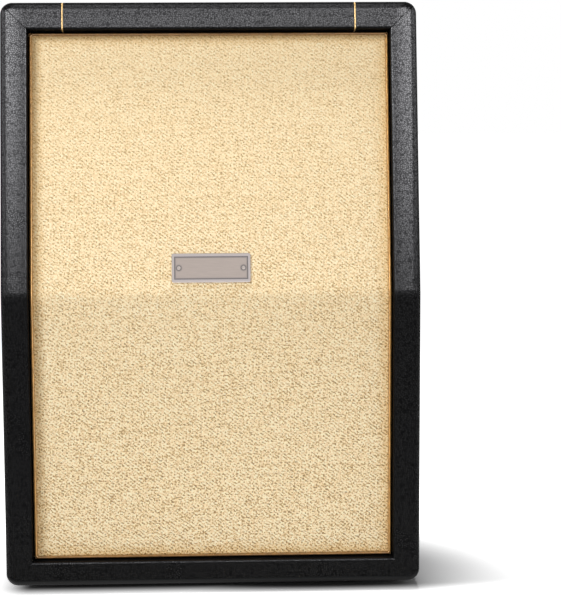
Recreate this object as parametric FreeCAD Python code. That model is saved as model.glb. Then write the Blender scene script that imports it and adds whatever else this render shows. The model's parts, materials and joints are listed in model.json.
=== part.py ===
import FreeCAD, Part
import math
import os
from FreeCAD import Placement, Rotation, Vector

# Upright guitar speaker cabinet for two twelve-inch speakers, its upper front leaning back.
# Millimetres. X runs to the viewer's right, Y from front to back, Z up from the floor.
# The origin is on the floor, under the middle of the case. Depths are measured square in from the front.

# Case
body_width = 530.0            # over the covering
body_depth = 300.0            # over the covering, at the base
lean_angle = 10.9             # degrees that the upper front leans back
kink_radius = 50.0            # rounding where the two front faces meet
board = 18.0                  # plywood of the shell
cover = 1.0                   # vinyl covering
corner_radius = 15.0          # edges that run from front to back
front_edge_radius = 10.0
rear_edge_radius = 10.0
finger_pitch = 19.0           # box joint

# Front frame, grille and baffles
frame_width = 34.5            # from the outer face to the lip of the recess
bottom_frame_width = 31.5     # the same under the recess
lip_radius = 3.0
recess = 16.0                 # from the frame down to the cloth
lining_depth = 30.0           # how far the covering is wrapped into the recess
baffle = 18.0
cloth = 1.0
grille_gap = 2.8              # from the recess wall to the edge of the cloth
seat_reach = 12.0             # rebate seat at the top and bottom of the baffles
side_seat_reach = 16.0        # rebate seat at their sides
seat_thickness = 20.0
cleat_half = 11.5             # half the width of the cleat behind the kink
cleat_thickness = 18.0
piping_radius = 1.6
piping_corner = 2.8           # bend of the piping at the grille's corners
piping_tape = 0.6             # sewn edge of the piping
piping_stand = 0.2            # how far the piping stands out past its tape
tape_depth = 12.0
piping_joint = 0.4            # where the two ends meet

# Inlay cords over the top
inlay_from_side = 79.0
inlay_radius = 1.1            # the cords lie flush with the covering
inlay_start = 13.0            # depth in the recess where each cord begins
inlay_clearance = 0.05
inlay_foot = 4.0              # how far each cord stops short of the rear opening

# Name plate, left bare
plate_width = 100.0
plate_height = 37.0
plate_thickness = 2.2
plate_corner = 2.5
plate_border = 3.2
plate_field_depth = 0.7
plate_above_kink = 36.0
pin_radius = 1.5
pin_head_radius = 2.4
pin_head_height = 0.9
pin_length = 12.0
pin_from_end = 9.0

# Speakers, measured from the rear face of the baffle
speaker_diameter = 309.0
speaker_margin = 1.5          # round the flange
lower_lift = 3.0              # more room under the lower speaker
bolt_inset = 6.0              # bolt circle from the flange's edge
cutout_inset = 13.0           # baffle cut-out from the flange's edge
speaker_bolt_count = 4
gasket = 3.0
paper = 0.8
basket_sheet = 1.8
basket_shoulder = 1.0         # outer roll of the surround to the top of the basket's wall
spider_land_radius = 72.0
spider_land_width = 13.0
spider_room = 1.6             # below the cone's neck at the end of its travel
cup_step = 11.0               # from the spider's land to the bottom of the basket
cup_taper = 7.0
basket_hole_room = 5.0        # round the voice coil
window_count = 8
window_angle = 27.0
window_margin = 9.0
window_corner = 6.0
surround_width = 17.0
surround_rolls = 3
surround_roll_height = 2.2
surround_land = 3.0           # glued width each side of the baffle's cut-out
cone_clearance = 0.35         # between moving and fixed paper
cone_depth = 50.0             # from the cone's edge to its neck
cone_flare = 0.8
cone_travel = 3.0             # each way
coil_radius = 22.6            # outside of the voice coil's former
coil_wall = 0.4
winding = 0.6
winding_length = 12.0
coil_gap = 0.7                # winding to front plate, former to pole
dust_cap_radius = 33.0
dust_cap_height = 13.0
spider_rolls = 4
spider_roll_height = 2.4
front_plate_radius = 55.0
front_plate_thickness = 8.0
magnet_radius = 67.0
magnet_hole_room = 8.0        # round the voice coil
magnet_thickness = 18.0
yoke_radius = 55.0
yoke_thickness = 8.0
terminal_width = 24.0
terminal_length = 9.0
terminal_thickness = 2.0
connector_length = 12.0
connector_width = 16.0
connector_height = 8.0

# Fasteners
bolt_radius = 2.4
bolt_head_radius = 4.8
bolt_head_height = 3.4
bolt_tip_gap = 1.0            # end of the bolt behind the face of its T-nut
flange_hole_play = 0.4        # round each bolt in the basket's flange
t_nut_flange_radius = 6.5
t_nut_flange = 1.5
t_nut_barrel_radius = 3.5
t_nut_barrel = 9.0
fit_clearance = 0.1           # round shanks, barrels and bushes
screw_radius = 2.0
screw_head_radius = 4.2
screw_head_height = 2.6
screw_bite = 16.0             # length of screw in the wood that holds it
cup_washer_radius = 8.0
cup_washer_height = 2.4

# Back
back_board = 15.0
back_inset = 8.0              # back panel inside the rear edge
back_clearance = 1.0
rear_lining = 22.0            # how far the covering is wrapped in at the rear
back_batten = 20.0
back_side_screws = 5
back_end_screws = 2

# Jack
jack_flange = 84.0
jack_flange_corner = 10.0
jack_flange_thickness = 2.5
jack_cup_radius = 31.0
jack_cup_taper = 3.0
jack_cup_depth = 28.0
jack_cup_wall = 2.0
jack_screw_inset = 9.0
jack_bore_radius = 3.25
jack_bush_radius = 4.8
jack_bush_length = 8.0
jack_body_width = 20.0
jack_body_height = 16.0
jack_body_length = 26.0
jack_bore_depth = 24.0
jack_nut_flats = 13.0
jack_nut_thickness = 2.5

# Side handles
handle_rim = 22.0             # flange round the pocket
handle_corner = 16.0
handle_flange = 3.0
handle_flange_edge = 1.5
pocket_width = 152.0
pocket_height = 84.0
pocket_corner = 14.0
pocket_depth = 48.0
pocket_wall = 2.5
pocket_floor_radius = 8.0
pocket_clearance = 1.0
grip_height = 20.0
grip_thickness = 15.0
grip_round = 6.0
grip_raise = 12.0             # middle of the bar above the middle of the pocket
grip_inset = 1.0              # face of the bar behind the face of the flange
handle_screw_inset = 12.0
handle_above_kink = 5.0

# Feet
foot_height = 10.0
foot_radius = 20.0
foot_taper = 3.0
foot_well_radius = 9.0
foot_well_depth = 5.5
foot_inset_side = 60.0
foot_inset_depth = 62.0

# Cables
cable_radius = 2.5
cable_spread = 4.0            # each cable from the middle of the jack

beyond = 60.0                 # how far cutting shapes run past the case

lean = math.radians(lean_angle)
lean_sin = math.sin(lean)
lean_cos = math.cos(lean)
mitre = math.tan(lean / 2)

half_width = body_width / 2
y_front = -body_depth / 2
y_back = body_depth / 2
z_base = foot_height
z_lip = z_base + bottom_frame_width
speaker_radius = speaker_diameter / 2
speaker_room = speaker_radius + speaker_margin
baffle_rear = recess + cloth + baffle
batten_depth = baffle_rear + seat_thickness
kink_step = baffle_rear * mitre

z_lower_speaker = z_lip + seat_reach + lower_lift + speaker_room
z_kink = z_lower_speaker + speaker_room + cleat_half + kink_step
slope_upper_speaker = kink_step + cleat_half + speaker_room
slope_lip = slope_upper_speaker + speaker_room + seat_reach
slope_top = slope_lip + frame_width
z_top = z_kink + slope_top * lean_cos

inner_half = half_width - cover - board
z_floor = z_base + cover + board
z_ceiling = z_top - cover - board
lip_half = half_width - frame_width
inlay_place = half_width - inlay_from_side
back_face = y_back - back_inset
back_rear_face = back_face - cover - back_board

pieces = {}


def upper_point(slope, depth):
    y = y_front + slope * lean_sin + depth * lean_cos
    z = z_kink + slope * lean_cos - depth * lean_sin
    return y, z


def kink_point(depth):
    return y_front + depth, z_kink - depth * mitre


def front_depth(point):
    lower = point.y - y_front
    upper = lower * lean_cos - (point.z - z_kink) * lean_sin
    return min(lower, upper)


def prism(outline, half):
    corners = [Vector(-half, y, z) for y, z in outline]
    return Part.Face(Part.makePolygon(corners + corners[:1])).extrude(Vector(2 * half, 0, 0))


def box(x0, x1, y0, y1, z0, z1):
    return Part.makeBox(x1 - x0, y1 - y0, z1 - z0, Vector(x0, y0, z0))


def turned(outline):
    corners = [Vector(r, 0, z) for r, z in outline]
    face = Part.Face(Part.makePolygon(corners + corners[:1]))
    return face.revolve(Vector(0, 0, 0), Vector(0, 0, 1), 360)


def edges_where(shape, test):
    return [edge for edge in shape.Edges if all(test(v.Point) for v in edge.Vertexes)]


def rounded_plate(width, height, corner, thickness):
    plate = Part.makeBox(width, height, thickness, Vector(-width / 2, -height / 2, 0))
    uprights = [edge for edge in plate.Edges if abs(edge.tangentAt(edge.FirstParameter).z) > 0.99]
    return plate.makeFillet(corner, uprights)


def placed(shape, position, across, up, out):
    copy = shape.copy()
    copy.Placement = Placement(position, Rotation(across, up, out, "XYZ")).multiply(shape.Placement)
    return copy


def on_back(shape, x, z, y):
    return placed(shape, Vector(x, y, z), Vector(-1, 0, 0), Vector(0, 0, 1), Vector(0, 1, 0))


def on_right(shape, y, z, x):
    return placed(shape, Vector(x, y, z), Vector(0, 1, 0), Vector(0, 0, 1), Vector(1, 0, 0))


def on_lower_front(shape, x, z, depth):
    position = Vector(x, y_front + depth, z)
    return placed(shape, position, Vector(1, 0, 0), Vector(0, 0, 1), Vector(0, -1, 0))


def on_upper_front(shape, x, slope, depth):
    y, z = upper_point(slope, depth)
    up = Vector(0, lean_sin, lean_cos)
    return placed(shape, Vector(x, y, z), Vector(1, 0, 0), up, Vector(0, -lean_cos, lean_sin))


def on_base(shape, x, y, z):
    return placed(shape, Vector(x, y, z), Vector(1, 0, 0), Vector(0, -1, 0), Vector(0, 0, -1))


def mirrored(shape):
    return shape.mirror(Vector(0, 0, 0), Vector(1, 0, 0))


def cut_all(shape, tools):
    return shape.cut(Part.makeCompound(tools)) if tools else shape


# The case outline, inset from the finished surface
def envelope(inset):
    half = half_width - inset
    low = z_base + inset
    high = z_top - inset
    slope_high = (high - z_kink + inset * lean_sin) / lean_cos
    outline = [(y_front + inset, low), kink_point(inset), upper_point(slope_high, inset),
               (y_back - inset, high), (y_back - inset, low)]
    body = prism(outline, half)
    kink_z = kink_point(inset)[1]
    body = body.makeFillet(kink_radius - inset, edges_where(body, lambda p: abs(p.z - kink_z) < 0.01))
    ends = [edge for edge in body.Edges
            if abs(edge.tangentAt(edge.FirstParameter).y) > 0.999]
    body = body.makeFillet(corner_radius - inset, ends)
    body = body.makeFillet(front_edge_radius - inset, front_edges(body, inset, half))
    rear = edges_where(body, lambda p: abs(p.y - y_back + inset) < 0.01)
    return body.makeFillet(rear_edge_radius - inset, rear)


def front_edges(body, depth, half):
    near_kink = kink_radius * mitre + 1
    kept = []
    for edge in edges_where(body, lambda p: abs(front_depth(p) - depth) < 0.001 and abs(p.x) < half + 0.01):
        middle = edge.valueAt((edge.FirstParameter + edge.LastParameter) / 2)
        if abs(middle.z - z_kink) > near_kink or abs(middle.x) > half / 2:
            kept.append(edge)
    return kept


# The recess and everything that fits in it, inset from the lip
def window(front, back, inset, side_inset=None):
    side_inset = inset if side_inset is None else side_inset
    low = z_lip + inset
    high = slope_lip - inset
    outline = [(y_front + front, low), kink_point(front), upper_point(high, front),
               upper_point(high, back), kink_point(back), (y_front + back, low)]
    return prism(outline, lip_half - side_inset)


def opened(inset):
    body = envelope(inset).cut(window(-beyond, lining_depth, -inset))
    lip = [edge for edge in front_edges(body, inset, lip_half + inset)
           if edge.CenterOfMass.z > z_lip - inset - 0.01]
    lip = [edge for edge in lip if edge.CenterOfMass.z < upper_point(slope_lip + inset, inset)[1] + 0.01]
    body = body.makeFillet(lip_radius - inset, lip)
    side = inner_half - cover + inset
    low = z_floor + cover - inset
    high = z_ceiling - cover + inset
    body = body.cut(box(-side, side, y_back - rear_lining, y_back + beyond, low, high))
    rim = edges_where(body, lambda p: abs(p.y - y_back + inset) < 0.01 and abs(p.x) < side + 0.01
                      and low - 0.01 < p.z < high + 0.01)
    return body.makeFillet(lip_radius - inset, rim)


interior = box(-inner_half, inner_half, y_front - beyond, y_back + beyond, z_floor, z_ceiling)
wood_form = opened(cover)
skin = opened(0).cut(wood_form)


def handle_cutout():
    width = pocket_width + 2 * (pocket_wall + pocket_clearance)
    height = pocket_height + 2 * (pocket_wall + pocket_clearance)
    corner = pocket_corner + pocket_wall + pocket_clearance
    plate = rounded_plate(width, height, corner, pocket_depth + beyond)
    return on_right(plate, handle_y, handle_z, half_width - pocket_depth - pocket_clearance)


# Each handle is centred between the front and back battens, at the height of its pocket's top
handle_width = pocket_width + 2 * handle_rim
handle_height = pocket_height + 2 * handle_rim
handle_z = z_kink + handle_above_kink
pocket_top = handle_z + pocket_height / 2 + pocket_wall + pocket_clearance
behind_front_batten = y_front + (pocket_top - z_kink) * lean_sin / lean_cos + batten_depth / lean_cos
batten_front = back_rear_face - back_batten
handle_y = (behind_front_batten + batten_front) / 2
handle_holes = [handle_cutout(), mirrored(handle_cutout())]


# Screws and bolts stand on their own origin, head outwards
def pan_screw(radius, head_radius, head_height, length):
    crown = head_height * 0.4
    outline = [(0, -length), (radius * 0.4, -length), (radius, -length + 2 * radius), (radius, 0),
               (head_radius, 0), (head_radius, head_height - crown), (head_radius * 0.6, head_height),
               (0, head_height)]
    return turned(outline)


def shank_hole(radius, length, rise=0.0):
    return Part.makeCylinder(radius + fit_clearance, length + rise, Vector(0, 0, -length))


# Inlay cords: from the recess, over the lip, up the front and over the top to the rear
def inlay_path(x):
    sink = inlay_radius

    def at(pair):
        return Vector(x, pair[0], pair[1])

    def bend(centre, radius, start, stop):
        points = [centre + Vector(0, -radius * math.cos(a), radius * math.sin(a))
                  for a in (start, (start + stop) / 2, stop)]
        return Part.Arc(*points).toShape()

    lip_centre = at(upper_point(slope_lip + lip_radius, lip_radius))
    lip_bend = bend(lip_centre, lip_radius - sink, -math.pi / 2 + lean, lean)
    slope_edge = (z_top - front_edge_radius - z_kink + front_edge_radius * lean_sin) / lean_cos
    top_centre = at(upper_point(slope_edge, front_edge_radius))
    top_bend = bend(top_centre, front_edge_radius - sink, lean, math.pi / 2)
    rear_centre = Vector(x, y_back - rear_edge_radius, z_top - rear_edge_radius)
    rear_bend = bend(rear_centre, rear_edge_radius - sink, math.pi / 2, math.pi)
    bends = [lip_bend, top_bend, rear_bend]
    start = at(upper_point(slope_lip + sink, inlay_start))
    stop = Vector(x, y_back - sink, z_ceiling + inlay_foot)
    edges = []
    for curve in bends:
        edges.append(Part.makeLine(start, curve.firstVertex().Point))
        edges.append(curve)
        start = curve.lastVertex().Point
    return Part.Wire(edges + [Part.makeLine(start, stop)])


def swept(path, radius):
    first = path.OrderedEdges[0]
    start = first.valueAt(first.FirstParameter)
    ring = Part.Wire(Part.makeCircle(radius, start, first.tangentAt(first.FirstParameter)))
    return path.makePipeShell([ring], True, False)


inlay_grooves = []
inlay_slots = []
for side, x in (("left", -inlay_place), ("right", inlay_place)):
    pieces["inlay_cord_" + side] = swept(inlay_path(x), inlay_radius)
    inlay_grooves.append(swept(inlay_path(x), inlay_radius + inlay_clearance))
    slot = inlay_radius + inlay_clearance
    slot_floor = upper_point(slope_lip, lining_depth)[1] - beyond / 2
    inlay_slots.append(box(x - slot, x + slot, y_front, y_back + beyond, slot_floor, z_top + beyond))

# The covering is in two pieces, parted along the inlay cords
for solid in cut_all(skin, handle_holes + inlay_slots).Solids:
    name = "vinyl_top" if solid.BoundBox.XLength < 2 * inlay_place else "vinyl_wrap"
    pieces[name] = solid


# Shell: box-jointed boards, with the front battens split off the same form
def finger_boxes(parity):
    boxes = []
    count = int(body_depth / finger_pitch) + 2
    for index in range(parity, count, 2):
        y = y_back - (index + 1) * finger_pitch
        for low, high in ((z_base, z_floor), (z_ceiling, z_top)):
            boxes.append(box(inner_half, half_width, y, y + finger_pitch, low, high))
            boxes.append(box(-half_width, -inner_half, y, y + finger_pitch, low, high))
    return boxes


hollow_outline = [(y_front + batten_depth, z_floor), kink_point(batten_depth),
                  upper_point(slope_top + beyond, batten_depth), (y_back + beyond, z_top + beyond),
                  (y_back + beyond, z_floor)]
hollow = prism(hollow_outline, inner_half).common(interior)
carcass = wood_form.cut(window(0, baffle_rear, -cover))
carcass = carcass.cut(window(baffle_rear - 0.5, batten_depth + beyond / 2, seat_reach, side_seat_reach))
carcass = carcass.cut(hollow)
shell = cut_all(carcass.cut(interior), inlay_grooves)
battens = cut_all(carcass.common(interior), inlay_grooves)

wide = half_width + beyond
near = y_front - beyond
far = y_back + beyond
level_fingers = finger_boxes(1)
upright_fingers = finger_boxes(0)
top_board = cut_all(shell.common(box(-wide, wide, near, far, z_ceiling, z_top + beyond)), level_fingers)
bottom_board = cut_all(shell.common(box(-wide, wide, near, far, 0, z_floor)), level_fingers)
side_boards = {}
for side, x0, x1 in (("left", -wide, -inner_half), ("right", inner_half, wide)):
    plank = shell.common(box(x0, x1, near, far, 0, z_top + beyond))
    side_boards[side] = cut_all(plank, upright_fingers + handle_holes)

batten_top_z = slope_lip - seat_reach
above_seat = prism([upper_point(batten_top_z, -beyond), upper_point(batten_top_z + beyond * 2, -beyond),
                    upper_point(batten_top_z + beyond * 2, batten_depth + beyond),
                    upper_point(batten_top_z, batten_depth + beyond)], wide)
below_seat = box(-wide, wide, near, far, 0, z_lip + seat_reach)
front_battens = {
    "top": battens.common(above_seat),
    "bottom": battens.common(below_seat),
}
uprights = battens.cut(above_seat).cut(below_seat)
front_battens["left"] = uprights.common(box(-wide, 0, near, far, 0, z_top))
front_battens["right"] = uprights.common(box(0, wide, near, far, 0, z_top))

# Baffles, mitred where the front leans back
baffle_front = recess + cloth
edge_inset = grille_gap + cloth
baffle_half = lip_half - edge_inset
lower_outline = [(y_front + baffle_front, z_lip + edge_inset), kink_point(baffle_front),
                 kink_point(baffle_rear), (y_front + baffle_rear, z_lip + edge_inset)]
upper_outline = [kink_point(baffle_front), upper_point(slope_lip - edge_inset, baffle_front),
                 upper_point(slope_lip - edge_inset, baffle_rear), kink_point(baffle_rear)]
baffles = {"lower": prism(lower_outline, baffle_half), "upper": prism(upper_outline, baffle_half)}

kink_y, kink_z = kink_point(baffle_rear)
cleat_top = upper_point(kink_step + cleat_half, baffle_rear)
bisector = (math.cos(lean / 2) * cleat_thickness, -math.sin(lean / 2) * cleat_thickness)
cleat_outline = [(kink_y, kink_z - cleat_half), (kink_y, kink_z), cleat_top,
                 (cleat_top[0] + bisector[0], cleat_top[1] + bisector[1]),
                 (kink_y + bisector[0], kink_z - cleat_half + bisector[1])]
pieces["baffle_cleat"] = prism(cleat_outline, lip_half - side_seat_reach)

# Grille cloth over both baffles and round their edges
cloth_outer = window(recess, baffle_rear, grille_gap)
fold_z = kink_point(recess)[1]
fold = edges_where(cloth_outer, lambda p: abs(p.z - fold_z) < 0.01)
cloth_outer = cloth_outer.makeFillet(kink_radius - recess, fold)
pieces["grille_cloth"] = cloth_outer.cut(window(baffle_front, baffle_rear + beyond, edge_inset))


# Piping: one length round the grille, its ends meeting in the middle of the bottom edge
def piping_path():
    depth = recess - piping_radius
    inset = grille_gap - piping_tape - piping_stand + piping_radius
    half = lip_half - inset
    low = z_lip + inset
    high = slope_lip - inset
    bend = kink_radius - depth
    tangent = bend * mitre
    slope_kink = depth * mitre
    y = y_front + depth
    corner = piping_corner
    diagonal = corner * (1 - math.sqrt(0.5))
    fold_middle = bend * (1 / math.cos(lean / 2) - 1)
    fold_y, fold_z = kink_point(depth)

    def lower(x, z):
        return Vector(x, y, z)

    def upper(x, slope):
        return Vector(x, *upper_point(slope, depth))

    def side_run(side):
        fold_top = upper(side * half, slope_kink + tangent)
        fold_mid = Vector(side * half, fold_y + fold_middle * math.cos(lean / 2),
                          fold_z - fold_middle * math.sin(lean / 2))
        inner = half - corner
        return [
            Part.LineSegment(lower(side * piping_joint / 2, low), lower(side * inner, low)),
            Part.Arc(lower(side * inner, low), lower(side * (half - diagonal), low + diagonal),
                     lower(side * half, low + corner)),
            Part.LineSegment(lower(side * half, low + corner), lower(side * half, fold_z - tangent)),
            Part.Arc(lower(side * half, fold_z - tangent), fold_mid, fold_top),
            Part.LineSegment(fold_top, upper(side * half, high - corner)),
            Part.Arc(upper(side * half, high - corner), upper(side * (half - diagonal), high - diagonal),
                     upper(side * inner, high)),
        ]

    left = [curve.toShape() for curve in side_run(-1)]
    right = [curve.toShape() for curve in side_run(1)]
    across = Part.makeLine(upper(-(half - corner), high), upper(half - corner, high))
    return Part.Wire(Part.__sortEdges__(left + [across] + right))


tape_outer = window(recess - piping_radius, recess + tape_depth, grille_gap - piping_tape)
tape_inner = window(recess - 2 * piping_radius, recess + tape_depth + 1, grille_gap)
pieces["grille_piping"] = tape_outer.cut(tape_inner).fuse(swept(piping_path(), piping_radius))

# Bare plate with a raised border, held by two pins
plate = rounded_plate(plate_width, plate_height, plate_corner, plate_thickness)
rim = [edge for edge in plate.Edges if edge.BoundBox.ZMin > plate_thickness - 0.01]
plate = plate.makeChamfer(plate_field_depth, rim)
field_width = plate_width - 2 * plate_border
field_height = plate_height - 2 * plate_border
field = rounded_plate(field_width, field_height, plate_corner / 2, plate_thickness)
field.translate(Vector(0, 0, plate_thickness - plate_field_depth))
plate = plate.cut(field)
pin_places = [x * (plate_width / 2 - pin_from_end) for x in (-1, 1)]
pin = pan_screw(pin_radius, pin_head_radius, pin_head_height, pin_length)
pin_seat = plate_thickness - plate_field_depth
plate_slope = plate_above_kink
pin_holes = []
pins = []
for x in pin_places:
    hole = shank_hole(pin_radius, pin_length, plate_thickness)
    hole.translate(Vector(0, 0, pin_seat))
    shank = pin.copy()
    shank.translate(Vector(0, 0, pin_seat))
    pin_holes.append(on_upper_front(hole, x, plate_slope, recess))
    pins.append(on_upper_front(shank, x, plate_slope, recess))
pieces["badge_plate"] = cut_all(on_upper_front(plate, 0, plate_slope, recess), pin_holes)
pieces["badge_pins"] = Part.makeCompound(pins)
pieces["grille_cloth"] = cut_all(pieces["grille_cloth"], pin_holes)
baffles["upper"] = cut_all(baffles["upper"], pin_holes)


# Thin pressed and paper rings: a line of radius and height, given a thickness
def sheet_ring(line, thickness):
    normals = []
    for (r0, z0), (r1, z1) in zip(line, line[1:]):
        length = math.hypot(r1 - r0, z1 - z0)
        normals.append((-(z1 - z0) / length, (r1 - r0) / length))
    joints = [normals[0]]
    for before, after in zip(normals, normals[1:]):
        total = (before[0] + after[0], before[1] + after[1])
        scale = 2 / (total[0] ** 2 + total[1] ** 2)
        joints.append((total[0] * scale, total[1] * scale))
    joints.append(normals[-1])
    raised = [(r + n * thickness, z + m * thickness) for (r, z), (n, m) in zip(line, joints)]
    return turned(line + raised[::-1])


def rolled_line(inner, outer, z, height, rolls):
    steps = 2 * rolls
    run = (outer - inner) / steps
    return [(inner + run * i, z + (height / 2 if i % 2 else -height / 2)) for i in range(1, steps)]


def ring_sector(inner, outer, angle, z0, z1):
    wedge = Part.makeCylinder(outer, z1 - z0, Vector(0, 0, z0), Vector(0, 0, 1), angle)
    wedge = wedge.cut(Part.makeCylinder(inner, z1 - z0, Vector(0, 0, z0)))
    wedge.rotate(Vector(0, 0, 0), Vector(0, 0, 1), -angle / 2)
    upright = [edge for edge in wedge.Edges if abs(edge.tangentAt(edge.FirstParameter).z) > 0.99]
    return wedge.makeFillet(window_corner, upright)


def around(shape, count, start):
    turns = []
    for index in range(count):
        turn = shape.copy()
        turn.rotate(Vector(0, 0, 0), Vector(0, 0, 1), start + index * 360.0 / count)
        turns.append(turn)
    return turns


# Speaker in its own frame: the baffle's rear face is at zero, the front is up
cutout_radius = speaker_radius - cutout_inset
bolt_circle = speaker_radius - bolt_inset
flange_hole_radius = bolt_radius + flange_hole_play
flange_front = -gasket - paper
flange_rear = flange_front - basket_sheet
surround_outer = cutout_radius + surround_land
surround_inner = cutout_radius - surround_width
roll_outer = cutout_radius - surround_land
cone_edge = surround_inner - cone_clearance
cone_edge_z = flange_front + paper / 2 - surround_roll_height
cone_neck = coil_radius + fit_clearance
cone_neck_z = cone_edge_z - cone_depth
spider_z = cone_neck_z - paper - cone_travel - spider_room - spider_roll_height / 2
cup_z = spider_z - cup_step
plate_front_z = cup_z - basket_sheet
plate_rear_z = plate_front_z - front_plate_thickness
magnet_rear_z = plate_rear_z - magnet_thickness
yoke_rear_z = magnet_rear_z - yoke_thickness
winding_middle = (plate_front_z + plate_rear_z) / 2


def cone_height(radius):
    share = (radius - cone_neck) / (cone_edge - cone_neck)
    return cone_neck_z + cone_depth * share ** cone_flare


def speaker_bolt_places():
    step = 2 * math.pi / speaker_bolt_count
    return [(bolt_circle * math.cos(step * (i + 0.5)), bolt_circle * math.sin(step * (i + 0.5)))
            for i in range(speaker_bolt_count)]


def at_bolts(shape):
    copies = []
    for x, y in speaker_bolt_places():
        copy = shape.copy()
        copy.translate(Vector(x, y, 0))
        copies.append(copy)
    return copies


def make_basket():
    wall_top = roll_outer + basket_shoulder
    land_inner = spider_land_radius - spider_land_width
    hole = coil_radius + basket_hole_room
    line = [(hole, plate_front_z), (land_inner - cup_taper, plate_front_z),
            (land_inner, spider_z - basket_sheet), (spider_land_radius, spider_z - basket_sheet),
            (wall_top, flange_rear), (speaker_radius, flange_rear)]
    shell = sheet_ring(line, basket_sheet)
    inner = spider_land_radius + window_margin
    outer = wall_top - window_margin
    sector = ring_sector(inner, outer, window_angle, cup_z, 0)
    windows = around(sector, window_count, 180.0 / window_count)
    holes = at_bolts(Part.makeCylinder(flange_hole_radius, -cup_z, Vector(0, 0, cup_z)))
    return shell.cut(Part.makeCompound(windows + holes))


def make_gasket():
    ring = turned([(cutout_radius, -gasket), (speaker_radius - 1, -gasket), (speaker_radius - 1, 0),
                   (cutout_radius, 0)])
    return cut_all(ring, at_bolts(Part.makeCylinder(flange_hole_radius, gasket, Vector(0, 0, -gasket))))


def make_surround():
    rolls = rolled_line(surround_inner, roll_outer, flange_front, surround_roll_height, surround_rolls)
    line = [(surround_inner, flange_front - surround_roll_height / 2)] + rolls
    line += [(roll_outer, flange_front), (surround_outer, flange_front)]
    return sheet_ring(line, paper)


def make_cone():
    count = 5
    radii = [cone_neck + (cone_edge - cone_neck) * i / count for i in range(count + 1)]
    front = [Vector(r, 0, cone_height(r)) for r in radii]
    rear = [point - Vector(0, 0, paper) for point in front]
    curves = []
    for points in (front, rear):
        curve = Part.BSplineCurve()
        curve.interpolate(points)
        curves.append(curve.toShape())
    ends = [Part.makeLine(front[0], rear[0]), Part.makeLine(front[-1], rear[-1])]
    profile = Part.Face(Part.Wire(Part.__sortEdges__(curves + ends)))
    return profile.revolve(Vector(0, 0, 0), Vector(0, 0, 1), 360)


def make_dust_cap():
    rim_z = cone_height(dust_cap_radius) + fit_clearance
    bend = (dust_cap_radius ** 2 + dust_cap_height ** 2) / (2 * dust_cap_height)
    centre = Vector(0, 0, rim_z + dust_cap_height - bend)
    dome = Part.makeSphere(bend + paper, centre).cut(Part.makeSphere(bend, centre))
    return dome.common(Part.makeCylinder(dust_cap_radius, dust_cap_height + 2 * paper, Vector(0, 0, rim_z)))


def make_voice_coil():
    low = winding_middle - winding_length / 2
    high = winding_middle + winding_length / 2
    return turned([(coil_radius - coil_wall, low), (coil_radius + winding, low),
                   (coil_radius + winding, high), (coil_radius, high), (coil_radius, cone_neck_z),
                   (coil_radius - coil_wall, cone_neck_z)])


def make_spider():
    inner = coil_radius + cone_clearance
    outer = spider_land_radius - spider_land_width
    rolls = rolled_line(inner, outer, spider_z, spider_roll_height, spider_rolls)
    line = [(inner, spider_z)] + rolls + [(outer, spider_z), (spider_land_radius - 2, spider_z)]
    return sheet_ring(line, paper)


def make_front_plate():
    hole = coil_radius + winding + coil_gap
    return turned([(hole, plate_rear_z), (front_plate_radius, plate_rear_z),
                   (front_plate_radius, plate_front_z), (hole, plate_front_z)])


def make_magnet():
    hole = coil_radius + magnet_hole_room
    ring = turned([(hole, magnet_rear_z), (magnet_radius, magnet_rear_z), (magnet_radius, plate_rear_z),
                   (hole, plate_rear_z)])
    rims = [edge for edge in ring.Edges if edge.BoundBox.XLength > 2 * magnet_radius - 0.1
            and edge.BoundBox.ZLength < 0.01]
    return ring.makeChamfer(2.0, rims)


def make_yoke():
    pole = coil_radius - coil_wall - coil_gap
    return turned([(0, yoke_rear_z), (yoke_radius - 1.5, yoke_rear_z), (yoke_radius, yoke_rear_z + 1.5),
                   (yoke_radius, magnet_rear_z), (pole, magnet_rear_z), (pole, plate_front_z),
                   (0, plate_front_z)])


terminal_z = spider_z - basket_sheet
terminal_outer = math.sqrt((spider_land_radius - 1) ** 2 - (terminal_width / 2) ** 2)
connector_outer = terminal_outer + connector_length


def make_terminal():
    strip = Part.makeBox(terminal_length, terminal_width, terminal_thickness,
                         Vector(terminal_outer - terminal_length, -terminal_width / 2,
                                terminal_z - terminal_thickness))
    socket = Part.makeBox(connector_length + 2, connector_width, connector_height,
                          Vector(terminal_outer - 2, -connector_width / 2,
                                 terminal_z - terminal_thickness - connector_height))
    uprights = [edge for edge in socket.Edges if abs(edge.tangentAt(edge.FirstParameter).x) > 0.99]
    return strip.fuse(socket.makeFillet(1.5, uprights))


bolt_length = gasket + paper + basket_sheet + baffle - bolt_tip_gap
nut_seat = baffle - t_nut_flange


def make_bolts():
    bolt = pan_screw(bolt_radius, bolt_head_radius, bolt_head_height, bolt_length)
    bolt.rotate(Vector(0, 0, 0), Vector(1, 0, 0), 180)
    bolt.translate(Vector(0, 0, flange_rear))
    return at_bolts(bolt)


def make_t_nuts():
    bore = bolt_radius + fit_clearance
    nut = turned([(bore, nut_seat - t_nut_barrel), (t_nut_barrel_radius, nut_seat - t_nut_barrel),
                  (t_nut_barrel_radius, nut_seat), (t_nut_flange_radius, nut_seat),
                  (t_nut_flange_radius, baffle), (bore, baffle)])
    return at_bolts(nut)


def baffle_cuts():
    opening = Part.makeCylinder(cutout_radius, baffle + 2, Vector(0, 0, -1))
    hole = Part.makeCylinder(t_nut_barrel_radius + fit_clearance, baffle + 2, Vector(0, 0, -1))
    seat = Part.makeCylinder(t_nut_flange_radius + fit_clearance, t_nut_flange + 1, Vector(0, 0, nut_seat))
    return [opening] + at_bolts(hole.fuse(seat))


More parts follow.
